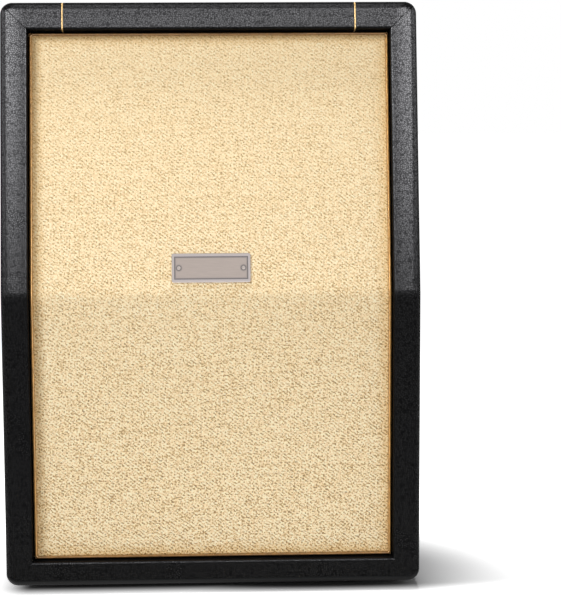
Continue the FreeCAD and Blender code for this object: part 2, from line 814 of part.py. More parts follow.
speaker_parts = {
    "basket": make_basket(),
    "gasket": make_gasket(),
    "surround": make_surround(),
    "cone": make_cone(),
    "dust_cap": make_dust_cap(),
    "voice_coil": make_voice_coil(),
    "spider": make_spider(),
    "front_plate": make_front_plate(),
    "magnet": make_magnet(),
    "pole_yoke": make_yoke(),
}
terminals = []
speaker_bolts = []
t_nuts = []
for level in ("upper", "lower"):
    def seated(shape, level=level):
        if level == "upper":
            return on_upper_front(shape, 0, slope_upper_speaker, baffle_rear)
        return on_lower_front(shape, 0, z_lower_speaker, baffle_rear)

    for name, shape in speaker_parts.items():
        pieces[name + "_" + level] = seated(shape)
    terminals.append(seated(make_terminal()))
    speaker_bolts += [seated(bolt) for bolt in make_bolts()]
    t_nuts += [seated(nut) for nut in make_t_nuts()]
    baffles[level] = cut_all(baffles[level], [seated(tool) for tool in baffle_cuts()])
pieces["terminal_strips"] = Part.makeCompound(terminals)
pieces["speaker_bolts"] = Part.makeCompound(speaker_bolts)
pieces["t_nuts"] = Part.makeCompound(t_nuts)

# Screws through the rebate seats into the baffles, from behind
seat_screw_length = seat_thickness + baffle * 0.7
seat_screw = pan_screw(screw_radius, screw_head_radius, screw_head_height, seat_screw_length)
seat_screw.rotate(Vector(0, 0, 0), Vector(1, 0, 0), 180)
seat_hole = shank_hole(screw_radius, seat_screw_length)
seat_hole.rotate(Vector(0, 0, 0), Vector(1, 0, 0), 180)
seat_x = lip_half - (side_seat_reach + edge_inset) / 2
baffle_screws = []
seat_holes = []
for x in (-seat_x, seat_x):
    for share in (-0.65, 0.0, 0.65):
        step = share * speaker_radius
        for tool, group in ((seat_screw, baffle_screws), (seat_hole, seat_holes)):
            group.append(on_lower_front(tool, x, z_lower_speaker + step, batten_depth))
            group.append(on_upper_front(tool, x, slope_upper_speaker + step, batten_depth))
pieces["baffle_screws"] = Part.makeCompound(baffle_screws)
for level in baffles:
    pieces["baffle_" + level] = cut_all(baffles[level], seat_holes)
for side in ("left", "right"):
    front_battens[side] = cut_all(front_battens[side], seat_holes + handle_holes)
for side, shape in front_battens.items():
    pieces["front_batten_" + side] = shape

# Back panel in the rear rebate, on its battens
panel_half = inner_half - cover - back_clearance
panel_low = z_floor + cover + back_clearance
panel_high = z_ceiling - cover - back_clearance
panel = box(-panel_half, panel_half, back_rear_face, back_face, panel_low, panel_high)
back_core = box(-panel_half + cover, panel_half - cover, back_rear_face, back_face - cover,
                panel_low + cover, panel_high - cover)
back_skin = panel.cut(back_core)

level_low = box(-inner_half, inner_half, batten_front, back_rear_face, z_floor, z_floor + back_batten)
level_high = box(-inner_half, inner_half, batten_front, back_rear_face, z_ceiling - back_batten, z_ceiling)
upright_right = box(inner_half - back_batten, inner_half, batten_front, back_rear_face,
                    z_floor + back_batten, z_ceiling - back_batten)

screw_x = inner_half - back_batten / 2
screw_low = z_floor + back_batten / 2
screw_high = z_ceiling - back_batten / 2
back_places = []
for index in range(back_side_screws):
    z = screw_low + (screw_high - screw_low) * index / (back_side_screws - 1)
    back_places += [(-screw_x, z), (screw_x, z)]
for index in range(back_end_screws):
    x = screw_x * (2.0 * (index + 1) / (back_end_screws + 1) - 1)
    back_places += [(x, screw_low), (x, screw_high)]

back_screw_length = back_board + cover + screw_bite
cup_bore = screw_radius + fit_clearance
cup_top = screw_head_radius + fit_clearance
cup_washer = turned([(cup_bore, 0), (cup_washer_radius, 0), (cup_top + 1, cup_washer_height),
                     (cup_top, cup_washer_height), (cup_bore, cup_washer_height * 0.25)])
cup_screw = turned([(0, -back_screw_length), (screw_radius * 0.4, -back_screw_length),
                    (screw_radius, -back_screw_length + 2 * screw_radius),
                    (screw_radius, cup_washer_height * 0.25), (screw_head_radius, cup_washer_height),
                    (screw_head_radius * 0.6, cup_washer_height + 0.9), (0, cup_washer_height + 1.2)])
back_hole = shank_hole(screw_radius, back_screw_length, 1.0)
back_screws = [on_back(cup_screw, x, z, back_face) for x, z in back_places]
cup_washers = [on_back(cup_washer, x, z, back_face) for x, z in back_places]
back_holes = [on_back(back_hole, x, z, back_face) for x, z in back_places]
pieces["back_screws"] = Part.makeCompound(back_screws)
pieces["back_cup_washers"] = Part.makeCompound(cup_washers)
pieces["back_battens_level"] = cut_all(Part.makeCompound([level_low, level_high]), back_holes)
both_uprights = Part.makeCompound([upright_right, mirrored(upright_right)])
pieces["back_battens_upright"] = cut_all(both_uprights, back_holes + handle_holes)

# Jack in a recessed cup, level with the kink
z_jack = z_kink
jack_floor = -jack_cup_depth + jack_flange_thickness
jack_cup_floor_radius = jack_cup_radius - jack_cup_taper
cup = turned([(jack_bush_radius + fit_clearance, -jack_cup_depth), (jack_cup_floor_radius, -jack_cup_depth),
              (jack_cup_radius, 0), (jack_cup_radius, jack_flange_thickness),
              (jack_cup_radius - jack_cup_wall, jack_flange_thickness),
              (jack_cup_floor_radius - jack_cup_wall, jack_floor),
              (jack_bush_radius + fit_clearance, jack_floor)])
flange = rounded_plate(jack_flange, jack_flange, jack_flange_corner, jack_flange_thickness)
flange = flange.cut(Part.makeCylinder(jack_cup_radius - 0.5, jack_flange_thickness))
flange_rim = [edge for edge in flange.Edges if edge.BoundBox.ZMin > jack_flange_thickness - 0.01
              and edge.BoundBox.DiagonalLength > jack_flange / 10
              and abs(edge.CenterOfMass.x) + abs(edge.CenterOfMass.y) > jack_flange / 4]
flange = flange.makeChamfer(0.8, flange_rim)
jack_cup = cup.fuse(flange)

jack_screw_length = jack_flange_thickness + cover + back_board * 0.8
jack_screw = pan_screw(screw_radius, screw_head_radius, screw_head_height, jack_screw_length)
jack_hole = shank_hole(screw_radius, jack_screw_length)
jack_reach = jack_flange / 2 - jack_screw_inset
jack_screws = []
jack_holes = []
for x in (-jack_reach, jack_reach):
    for z in (-jack_reach, jack_reach):
        for tool, group in ((jack_screw, jack_screws), (jack_hole, jack_holes)):
            group.append(on_back(tool, x, z_jack + z, back_face + jack_flange_thickness))
jack_cup = on_back(jack_cup, 0, z_jack, back_face)
pieces["jack_cup"] = cut_all(jack_cup, jack_holes)
cup_hole = on_back(Part.makeCylinder(jack_cup_radius + pocket_clearance, beyond, Vector(0, 0, -beyond / 2)),
                   0, z_jack, back_face)
pieces["back_board"] = cut_all(back_core, back_holes + jack_holes + [cup_hole])
pieces["vinyl_back"] = cut_all(back_skin, back_holes + jack_holes + [cup_hole])

bush_top = jack_floor + jack_bush_length
bush = Part.makeCylinder(jack_bush_radius, bush_top + jack_cup_depth, Vector(0, 0, -jack_cup_depth))
jack_body = rounded_plate(jack_body_width, jack_body_height, 2.0, jack_body_length)
jack_body.translate(Vector(0, 0, -jack_cup_depth - jack_body_length))
jack_bore = Part.makeCylinder(jack_bore_radius, jack_bore_depth + bush_top + jack_cup_depth,
                              Vector(0, 0, -jack_cup_depth - jack_bore_depth))
pieces["jack_socket"] = on_back(jack_body.fuse(bush).removeSplitter().cut(jack_bore), 0, z_jack, back_face)

nut_corner = jack_nut_flats / math.sqrt(3)
nut_angles = [math.radians(60 * i) for i in range(7)]
hexagon = Part.makePolygon([Vector(nut_corner * math.cos(angle), nut_corner * math.sin(angle), jack_floor)
                            for angle in nut_angles])
nut = Part.Face(hexagon).extrude(Vector(0, 0, jack_nut_thickness))
nut = nut.cut(Part.makeCylinder(jack_bush_radius + fit_clearance, beyond, Vector(0, 0, -beyond)))
pieces["jack_nut"] = on_back(nut, 0, z_jack, back_face)


# Side handle: moulded dish with a bar across it
def make_dish():
    flange = rounded_plate(handle_width, handle_height, handle_corner, handle_flange)
    outer_rim = [edge for edge in flange.Edges if edge.BoundBox.ZMin > handle_flange - 0.01]
    flange = flange.makeFillet(handle_flange_edge, outer_rim)
    outside = rounded_plate(pocket_width + 2 * pocket_wall, pocket_height + 2 * pocket_wall,
                            pocket_corner + pocket_wall, pocket_depth)
    floor_rim = [edge for edge in outside.Edges if edge.BoundBox.ZMax < 0.01]
    outside = outside.makeFillet(pocket_floor_radius + pocket_wall, floor_rim)
    outside.translate(Vector(0, 0, -pocket_depth))
    inside = rounded_plate(pocket_width, pocket_height, pocket_corner, pocket_depth + handle_flange)
    floor_rim = [edge for edge in inside.Edges if edge.BoundBox.ZMax < 0.01]
    inside = inside.makeFillet(pocket_floor_radius, floor_rim)
    inside.translate(Vector(0, 0, -pocket_depth + pocket_wall))
    return flange.fuse(outside).removeSplitter().cut(inside)


def make_grip():
    bar = Part.makeBox(pocket_width, grip_height, grip_thickness,
                       Vector(-pocket_width / 2, grip_raise - grip_height / 2,
                              handle_flange - grip_inset - grip_thickness))
    long_edges = [edge for edge in bar.Edges if abs(edge.tangentAt(edge.FirstParameter).x) > 0.99]
    return bar.makeFillet(grip_round, long_edges)


handle_screw = pan_screw(screw_radius, screw_head_radius, screw_head_height, handle_flange + screw_bite)
handle_hole = shank_hole(screw_radius, handle_flange + screw_bite)
handle_screws = []
handle_pilot = []
for y in (-1, 1):
    for z in (-1, 1):
        place_y = handle_y + y * (handle_width / 2 - handle_screw_inset)
        place_z = handle_z + z * (handle_height / 2 - handle_screw_inset)
        for tool, group in ((handle_screw, handle_screws), (handle_hole, handle_pilot)):
            group.append(on_right(tool, place_y, place_z, half_width + handle_flange))
dish = cut_all(on_right(make_dish(), handle_y, handle_z, half_width), handle_pilot)
grip = on_right(make_grip(), handle_y, handle_z, half_width)
pieces["handle_dish_right"] = dish
pieces["handle_dish_left"] = mirrored(dish)
pieces["handle_grip_right"] = grip
pieces["handle_grip_left"] = mirrored(grip)
all_handle_screws = handle_screws + [mirrored(screw) for screw in handle_screws]
all_handle_pilot = handle_pilot + [mirrored(hole) for hole in handle_pilot]
pieces["trim_screws"] = Part.makeCompound(all_handle_screws + jack_screws)

# Rubber feet, each held by a screw in its well
foot_base_radius = foot_radius - foot_taper
foot = turned([(screw_radius + fit_clearance, 0), (foot_radius, 0), (foot_base_radius + 1, foot_height - 1),
               (foot_base_radius, foot_height), (foot_well_radius, foot_height),
               (foot_well_radius, foot_height - foot_well_depth),
               (screw_radius + fit_clearance, foot_height - foot_well_depth)])
foot_neck = foot_height - foot_well_depth
foot_screw = pan_screw(screw_radius, screw_head_radius + 1, screw_head_height, foot_neck + screw_bite)
foot_hole = shank_hole(screw_radius, foot_neck + screw_bite)
for tool in (foot_screw, foot_hole):
    tool.translate(Vector(0, 0, foot_neck))
foot_x = half_width - foot_inset_side
foot_y = body_depth / 2 - foot_inset_depth
foot_places = [(x, y) for x in (-foot_x, foot_x) for y in (-foot_y, foot_y)]
foot_holes = [on_base(foot_hole, x, y, z_base) for x, y in foot_places]
pieces["rubber_feet"] = Part.makeCompound([on_base(foot, x, y, z_base) for x, y in foot_places])
pieces["foot_screws"] = Part.makeCompound([on_base(foot_screw, x, y, z_base) for x, y in foot_places])

pieces["top_board"] = top_board
pieces["bottom_board"] = cut_all(bottom_board, foot_holes)
pieces["side_board_left"] = cut_all(side_boards["left"], all_handle_pilot)
pieces["side_board_right"] = cut_all(side_boards["right"], all_handle_pilot)
pieces["vinyl_wrap"] = cut_all(pieces["vinyl_wrap"], all_handle_pilot + foot_holes)


# Cables from the jack to each speaker, with arcs as wide as their runs allow
def cable(points):
    corners = [Vector(*point) for point in points]
    edges = []
    start = corners[0]
    radii = []
    for before, corner, after in zip(corners, corners[1:], corners[2:]):
        back = (before - corner).normalize()
        ahead = (after - corner).normalize()
        reach = 0.45 * min(before.distanceToPoint(corner), after.distanceToPoint(corner))
        half_turn = (math.pi - back.getAngle(ahead)) / 2
        radius = reach / math.tan(half_turn)
        centre = corner + (back + ahead).normalize() * (radius / math.cos(half_turn))
        middle = centre + (corner - centre).normalize() * radius
        edges.append(Part.makeLine(start, corner + back * reach))
        edges.append(Part.Arc(corner + back * reach, middle, corner + ahead * reach).toShape())
        start = corner + ahead * reach
        radii.append(round(radius, 1))
    edges.append(Part.makeLine(start, corners[-1]))
    path = Part.Wire(edges)
    tube = swept(path, cable_radius)
    full_volume = math.pi * cable_radius ** 2 * path.Length
    print("cable radii", radii, "volume share", round(tube.Volume / full_volume, 4))
    return tube


jack_end = back_face - jack_cup_depth - jack_body_length
plug_depth = terminal_z - terminal_thickness - connector_height / 2
lower_y = y_front + baffle_rear - plug_depth
upper_y, upper_z = upper_point(slope_upper_speaker, baffle_rear - plug_depth)
lower_route = [(cable_spread, jack_end, z_jack), (cable_spread, jack_end - 24, z_jack),
               (18, jack_end - 44, z_jack - 30), (52, jack_end - 62, z_jack - 68),
               (90, jack_end - 88, z_jack - 102), (124, lower_y + 24, z_lower_speaker + 42),
               (128, lower_y + 4, z_lower_speaker + 12),
               (connector_outer + 24, lower_y, z_lower_speaker), (connector_outer, lower_y, z_lower_speaker)]
upper_route = [(-cable_spread, jack_end, z_jack), (-cable_spread, jack_end - 24, z_jack),
               (10, jack_end - 40, z_jack + 30), (48, jack_end - 48, z_jack + 66),
               (90, jack_end - 56, z_jack + 98), (122, upper_y + 18, upper_z - 38),
               (128, upper_y + 2, upper_z - 12),
               (connector_outer + 24, upper_y, upper_z), (connector_outer, upper_y, upper_z)]
pieces["speaker_cables"] = Part.makeCompound([cable(lower_route), cable(upper_route)])

os.makedirs("parts", exist_ok=True)
for name, shape in pieces.items():
    shape.exportStep("parts/" + name + ".step")
print(len(pieces), "nodes, height", round(z_top, 2), "kink", round(z_kink, 2))
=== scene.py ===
import bmesh
import bpy
import json
import math
from mathutils import Matrix, Vector, noise


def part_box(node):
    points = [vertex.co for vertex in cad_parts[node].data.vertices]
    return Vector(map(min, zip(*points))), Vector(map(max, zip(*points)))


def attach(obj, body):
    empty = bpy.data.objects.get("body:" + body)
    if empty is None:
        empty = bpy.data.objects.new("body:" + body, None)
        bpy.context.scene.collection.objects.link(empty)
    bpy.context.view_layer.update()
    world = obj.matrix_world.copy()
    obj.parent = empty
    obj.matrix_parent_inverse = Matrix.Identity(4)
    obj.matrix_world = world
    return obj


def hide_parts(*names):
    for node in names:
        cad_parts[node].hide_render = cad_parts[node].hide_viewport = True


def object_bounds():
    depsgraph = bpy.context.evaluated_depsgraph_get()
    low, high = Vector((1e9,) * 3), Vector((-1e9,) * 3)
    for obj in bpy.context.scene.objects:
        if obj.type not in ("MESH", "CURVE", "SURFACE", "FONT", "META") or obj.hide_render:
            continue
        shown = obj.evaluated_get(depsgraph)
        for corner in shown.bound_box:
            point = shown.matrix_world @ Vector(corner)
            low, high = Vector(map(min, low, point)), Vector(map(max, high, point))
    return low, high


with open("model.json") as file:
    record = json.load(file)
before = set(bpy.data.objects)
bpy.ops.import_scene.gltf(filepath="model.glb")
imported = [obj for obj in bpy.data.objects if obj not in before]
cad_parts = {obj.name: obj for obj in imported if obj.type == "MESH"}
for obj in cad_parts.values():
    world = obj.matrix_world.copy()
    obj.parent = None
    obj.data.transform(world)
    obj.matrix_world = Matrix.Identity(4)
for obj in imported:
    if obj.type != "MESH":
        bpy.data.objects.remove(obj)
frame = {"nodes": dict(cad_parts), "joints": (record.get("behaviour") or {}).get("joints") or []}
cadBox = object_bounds()
nodes = frame["nodes"]
print("frame loaded:", len(nodes), "nodes")

# Lines of the front, read from the frame
wallGap = 0.0028  # from the cloth's edge to the wall of its recess
frontPull = 0.01  # picks the front one of the cloth's top points
upperAxis = next(j["axis"] for j in frame["joints"] if j["child"] == "upper_cone")
lean = math.asin(upperAxis[2])  # how far the upper front leans back
clothLow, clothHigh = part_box("grille_cloth")
clothPoints = [vert.co for vert in nodes["grille_cloth"].data.vertices]
clothTop = max(clothPoints, key=lambda co: co.z - co.y * frontPull)
clothFold = clothTop.z - (clothTop.y - clothLow.y) / math.tan(lean)  # height of the fold on the cloth's face
wrapLow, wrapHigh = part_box("vinyl_wrap")
frontY = wrapLow.y
recess = clothLow.y - frontY
foldRise = recess * math.tan(lean / 2)
kinkZ = clothFold + foldRise  # height of the fold on the front frame
lipHalf = clothHigh.x + wallGap
lipLow = clothLow.z - wallGap
lipSlope = (clothTop.z - clothFold) / math.cos(lean) + foldRise + wallGap


def put(tree, kind, inputs=None, **settings):
    node = tree.nodes.new(kind)
    for name, value in settings.items():
        setattr(node, name, value)
    for key, value in (inputs or {}).items():
        feed(tree, value, node.inputs[key])
    return node


def feed(tree, value, socket):
    if isinstance(value, bpy.types.NodeSocket):
        tree.links.new(value, socket)
    else:
        socket.default_value = value


def calc(tree, operation, first, second=0.0, third=0.0):
    inputs = {0: first, 1: second, 2: third}
    return put(tree, "ShaderNodeMath", inputs, operation=operation).outputs[0]


def ramp(tree, value, low, high, outLow=0.0, outHigh=1.0, smooth=False):
    kind = "SMOOTHSTEP" if smooth else "LINEAR"
    inputs = {"Value": value, "From Min": low, "From Max": high, "To Min": outLow, "To Max": outHigh}
    return put(tree, "ShaderNodeMapRange", inputs, interpolation_type=kind).outputs[0]


def swing(tree, value, amount, base):
    # adds how far a value lies from its middle
    return calc(tree, "MULTIPLY_ADD", calc(tree, "SUBTRACT", value, 0.5), amount, base)


def reachOf(tree, first, second):
    squares = calc(tree, "MULTIPLY_ADD", first, first, calc(tree, "MULTIPLY", second, second))
    return calc(tree, "SQRT", squares)


def alongLean(tree, back, rise):
    # distance up the leaning upper front
    return calc(tree, "MULTIPLY_ADD", back, math.sin(lean), calc(tree, "MULTIPLY", rise, math.cos(lean)))


def split(tree, vector):
    return put(tree, "ShaderNodeSeparateXYZ", {0: vector}).outputs


def combine(tree, first, second, third=0.0):
    return put(tree, "ShaderNodeCombineXYZ", {0: first, 1: second, 2: third}).outputs[0]


def mixValue(tree, factor, first, second):
    return put(tree, "ShaderNodeMix", {0: factor, 2: first, 3: second}).outputs[0]


def mixColour(tree, factor, first, second, blend="MIX"):
    node = put(tree, "ShaderNodeMix", data_type="RGBA", blend_type=blend)
    for place, value in ((0, factor), (6, first), (7, second)):
        feed(tree, value, node.inputs[place])
    return node.outputs[2]


def dimmed(colour, share):
    return [part * share for part in colour[:3]] + [1.0]


def cloud(tree, vector, scale, detail=2.0, rough=0.5):
    inputs = {"Vector": vector, "Scale": scale, "Detail": detail, "Roughness": rough}
    return put(tree, "ShaderNodeTexNoise", inputs).outputs["Fac"]


cloudRange = (0.3, 0.7)  # where most of a cloud's values lie


def newGroup(name, inputs, outputs):
    tree = bpy.data.node_groups.new(name, "ShaderNodeTree")
    kinds = {"v": "NodeSocketVector", "f": "NodeSocketFloat"}
    for label, kind, value in inputs:
        socket = tree.interface.new_socket(label, in_out="INPUT", socket_type=kinds[kind])
        if value is not None:
            socket.default_value = value
    for label in outputs:
        tree.interface.new_socket(label, in_out="OUTPUT", socket_type=kinds["f"])
    enter = tree.nodes.new("NodeGroupInput")
    leave = tree.nodes.new("NodeGroupOutput")
    return tree, enter.outputs, leave.inputs


def useGroup(tree, name, inputs):
    node = tree.nodes.new("ShaderNodeGroup")
    node.node_tree = bpy.data.node_groups[name]
    for key, value in inputs.items():
        feed(tree, value, node.inputs[key])
    return node.outputs


# Pebbled grain: cells with creases between them, over a slow unevenness
pebble = {
    "driftScale": 0.4,  # the drift and the fine grain are scaled from the cells
    "driftReach": 0.0012,
    "randomness": 0.9,
    "creaseEdges": (0.04, 0.24),
    "creaseDepth": 0.5,
    "domeFall": 0.3,
    "fineScale": 2.2,
    "fineHeight": 0.08,
    "patchScale": 14.0,
    "patchDetail": 3.0,
}


def makeGrainGroup():
    tree, enter, leave = newGroup(
        "pebbleGrain",
        [("Vector", "v", None), ("Cell", "f", 0.001)],
        ["Height", "Crease", "Patch"])
    place = enter["Vector"]
    scale = calc(tree, "DIVIDE", 1.0, enter["Cell"])
    slow = calc(tree, "MULTIPLY", scale, pebble["driftScale"])
    drift = put(tree, "ShaderNodeTexNoise", {"Vector": place, "Scale": slow, "Detail": 1.0}).outputs["Color"]
    moved = {0: drift, 1: [pebble["driftReach"]] * 3, 2: place}
    shifted = put(tree, "ShaderNodeVectorMath", moved, operation="MULTIPLY_ADD").outputs[0]
    cells = {"Vector": shifted, "Scale": scale, "Randomness": pebble["randomness"]}
    edge = put(tree, "ShaderNodeTexVoronoi", cells, feature="DISTANCE_TO_EDGE").outputs["Distance"]
    dome = put(tree, "ShaderNodeTexVoronoi", cells, feature="F1").outputs["Distance"]
    crease = ramp(tree, edge, *pebble["creaseEdges"], 1.0, 0.0, smooth=True)
    fine = cloud(tree, place, calc(tree, "MULTIPLY", scale, pebble["fineScale"]), 1.0)
    body = calc(tree, "MULTIPLY", fine, pebble["fineHeight"])
    body = calc(tree, "MULTIPLY_ADD", calc(tree, "MULTIPLY", dome, dome), -pebble["domeFall"], body)
    feed(tree, calc(tree, "MULTIPLY_ADD", crease, -pebble["creaseDepth"], body), leave["Height"])
    feed(tree, crease, leave["Crease"])
    feed(tree, cloud(tree, place, pebble["patchScale"], pebble["patchDetail"]), leave["Patch"])


# Twill of uneven yarns: which thread is on top, how light it is, and the pinholes between
twill = {
    "driftScale": 60.0,
    "repeat": 4.0,
    "weftOver": 1.5,  # the weft is on top in steps 0 and 1 of the repeat
    "slubScale": 45.0,
    "slubStep": 3.7,  # sets the slubs of neighbouring threads apart
    "weftSeed": 9.0,
    "slubBase": 0.5,
    "warpTone": 0.68,
    "weftTone": -0.36,
    "toneSpread": 0.85,
    "warpStreak": 0.4,
    "weftStreak": 0.6,
    "warpCorner": (0.55, 1.0),
    "weftCorner": (0.5, 1.0),
    "pinholeChance": (0.55, 0.95),
}


def makeWeaveGroup():
    tree, enter, leave = newGroup(
        "twillWeave",
        [("Vector", "v", None), ("Warp", "f", 0.00155), ("Weft", "f", 0.00118), ("Wander", "f", 0.95)],
        ["Height", "Tone", "Streak", "Pinhole"])
    flat = split(tree, enter["Vector"])
    drift = {"Vector": enter["Vector"], "Scale": twill["driftScale"], "Detail": 2.0}
    drift = put(tree, "ShaderNodeTexNoise", drift).outputs["Color"]
    drift = put(tree, "ShaderNodeSeparateColor", {0: drift}).outputs

    def threads(axis, pitch):
        # number of the thread, how far a point is from its middle line, and its round section
        count = calc(tree, "DIVIDE", flat[axis], enter[pitch])
        count = swing(tree, drift[axis], enter["Wander"], count)
        aside = calc(tree, "MULTIPLY_ADD", calc(tree, "FRACT", count), 2.0, -1.0)
        aside = calc(tree, "ABSOLUTE", aside)
        section = calc(tree, "SUBTRACT", 1.0, calc(tree, "POWER", aside, 2.0))
        return calc(tree, "FLOOR", count), aside, section

    column, warpSide, warpRound = threads(0, "Warp")
    row, weftSide, weftRound = threads(1, "Weft")
    step = calc(tree, "FLOORED_MODULO", calc(tree, "ADD", column, row), twill["repeat"])
    weftUp = calc(tree, "LESS_THAN", step, twill["weftOver"])
    top = mixValue(tree, weftUp, warpRound, weftRound)
    crossing = {"Vector": combine(tree, column, row)}
    chance = put(tree, "ShaderNodeTexWhiteNoise", crossing, noise_dimensions="2D").outputs["Value"]
    # slubs: each yarn thickens and lightens slowly along its own run
    warpRun = combine(tree, calc(tree, "MULTIPLY", column, twill["slubStep"]),
                      calc(tree, "MULTIPLY", flat[1], twill["slubScale"]))
    weftRun = combine(tree, calc(tree, "MULTIPLY", flat[0], twill["slubScale"]),
                      calc(tree, "MULTIPLY", row, twill["slubStep"]), twill["weftSeed"])
    warpSlub = cloud(tree, warpRun, 1.0, 1.0)
    weftSlub = cloud(tree, weftRun, 1.0, 1.0)
    slub = mixValue(tree, weftUp, warpSlub, weftSlub)
    feed(tree, calc(tree, "MULTIPLY", top, calc(tree, "ADD", slub, twill["slubBase"])), leave["Height"])
    lay = calc(tree, "MULTIPLY_ADD", weftUp, twill["weftTone"], twill["warpTone"])
    feed(tree, swing(tree, chance, twill["toneSpread"], lay), leave["Tone"])
    streak = calc(tree, "ADD", calc(tree, "MULTIPLY", warpSlub, twill["warpStreak"]),
                  calc(tree, "MULTIPLY", weftSlub, twill["weftStreak"]))
    feed(tree, streak, leave["Streak"])
    corner = calc(tree, "MULTIPLY", ramp(tree, warpSide, *twill["warpCorner"]),
                  ramp(tree, weftSide, *twill["weftCorner"]))
    rare = ramp(tree, chance, *twill["pinholeChance"])
    feed(tree, calc(tree, "MULTIPLY", corner, rare), leave["Pinhole"])


# Fine moulded or sprayed texture with a slow change of sheen
speck = {"detail": 3.0, "rough": 0.6, "toneScale": 0.22, "sheenScale": 30.0}


def makeSpeckleGroup():
    tree, enter, leave = newGroup(
        "fineSpeckle",
        [("Vector", "v", None), ("Grain", "f", 0.0006)],
        ["Height", "Tone", "Sheen"])
    place = enter["Vector"]
    scale = calc(tree, "DIVIDE", 1.0, enter["Grain"])
    toneScale = calc(tree, "MULTIPLY", scale, speck["toneScale"])
    feed(tree, cloud(tree, place, scale, speck["detail"], speck["rough"]), leave["Height"])
    feed(tree, cloud(tree, place, toneScale, speck["detail"]), leave["Tone"])
    feed(tree, cloud(tree, place, speck["sheenScale"], speck["detail"], speck["rough"]), leave["Sheen"])


# Brush marks that run along one direction
brush = {"detail": 3.0, "rough": 0.65, "smudgeScale": 70.0}


def makeBrushGroup():
    tree, enter, leave = newGroup(
        "brushMarks",
        [("Vector", "v", None), ("Stretch", "v", (40.0, 2500.0, 2500.0))],
        ["Line", "Smudge"])
    drawn = {0: enter["Vector"], 1: enter["Stretch"]}
    drawn = put(tree, "ShaderNodeVectorMath", drawn, operation="MULTIPLY").outputs[0]
    feed(tree, cloud(tree, drawn, 1.0, brush["detail"], brush["rough"]), leave["Line"])
    feed(tree, cloud(tree, enter["Vector"], brush["smudgeScale"], brush["detail"]), leave["Smudge"])


makeGrainGroup()
makeWeaveGroup()
makeSpeckleGroup()
makeBrushGroup()
print("shared effects made:", len(bpy.data.node_groups))


def newMaterial(name, constants):
    material = bpy.data.materials.new(name)
    material.use_nodes = True
    tree = material.node_tree
    shader = tree.nodes["Principled BSDF"]
    for key, value in constants.items():
        shader.inputs[key].default_value = value
    return material, tree, shader.inputs


def objectPlace(tree):
    return put(tree, "ShaderNodeTexCoord").outputs["Object"]


def bump(tree, height, distance, strength=1.0):
    inputs = {"Height": height, "Distance": distance, "Strength": strength}
    return put(tree, "ShaderNodeBump", inputs).outputs[0]


# Black covering with pebbled grain, drawn over a crowned frame, with mitred seams at its upper front corners
vinyl = {
    "dark": (0.002, 0.002, 0.0022, 1.0),
    "worn": (0.0042, 0.0042, 0.0046, 1.0),
    "crease": (0.0016, 0.0016, 0.0018, 1.0),
    "cell": 0.0024,
    "relief": 0.0001,
    "rough": 0.26,
    "patchRough": 0.1,
    "creaseRough": 0.2,
    "gloss": (0.215, 0.05),  # on the cells and in the creases
    "shader": {"Specular IOR Level": 0.0, "Coat Roughness": 0.26},
    "seamWidth": 0.0009,
    "seamDepth": 0.0003,
    "seamReach": 0.012,
    "seamFull": 0.8,
    "seamGloss": 0.04,
    "dust": (0.013, 0.013, 0.0135, 1.0),
    "dustTilt": (0.9, 0.99),  # upward part of the surface's normal
    "dustBand": 0.02,
    "dustInCrease": 0.35,
    "dustGloss": 0.1,
    "tuckGloss": 0.36,
    "tuckStart": 0.0025,
    "tuckPast": 0.0015,
    "scuffGloss": 0.42,
    "scuffTilt": (-0.05, -0.5),
    "scuffBand": 0.03,
    "crownStart": 0.006,
    "crownTilt": 0.22,
    "crownWidth": 0.022,
}


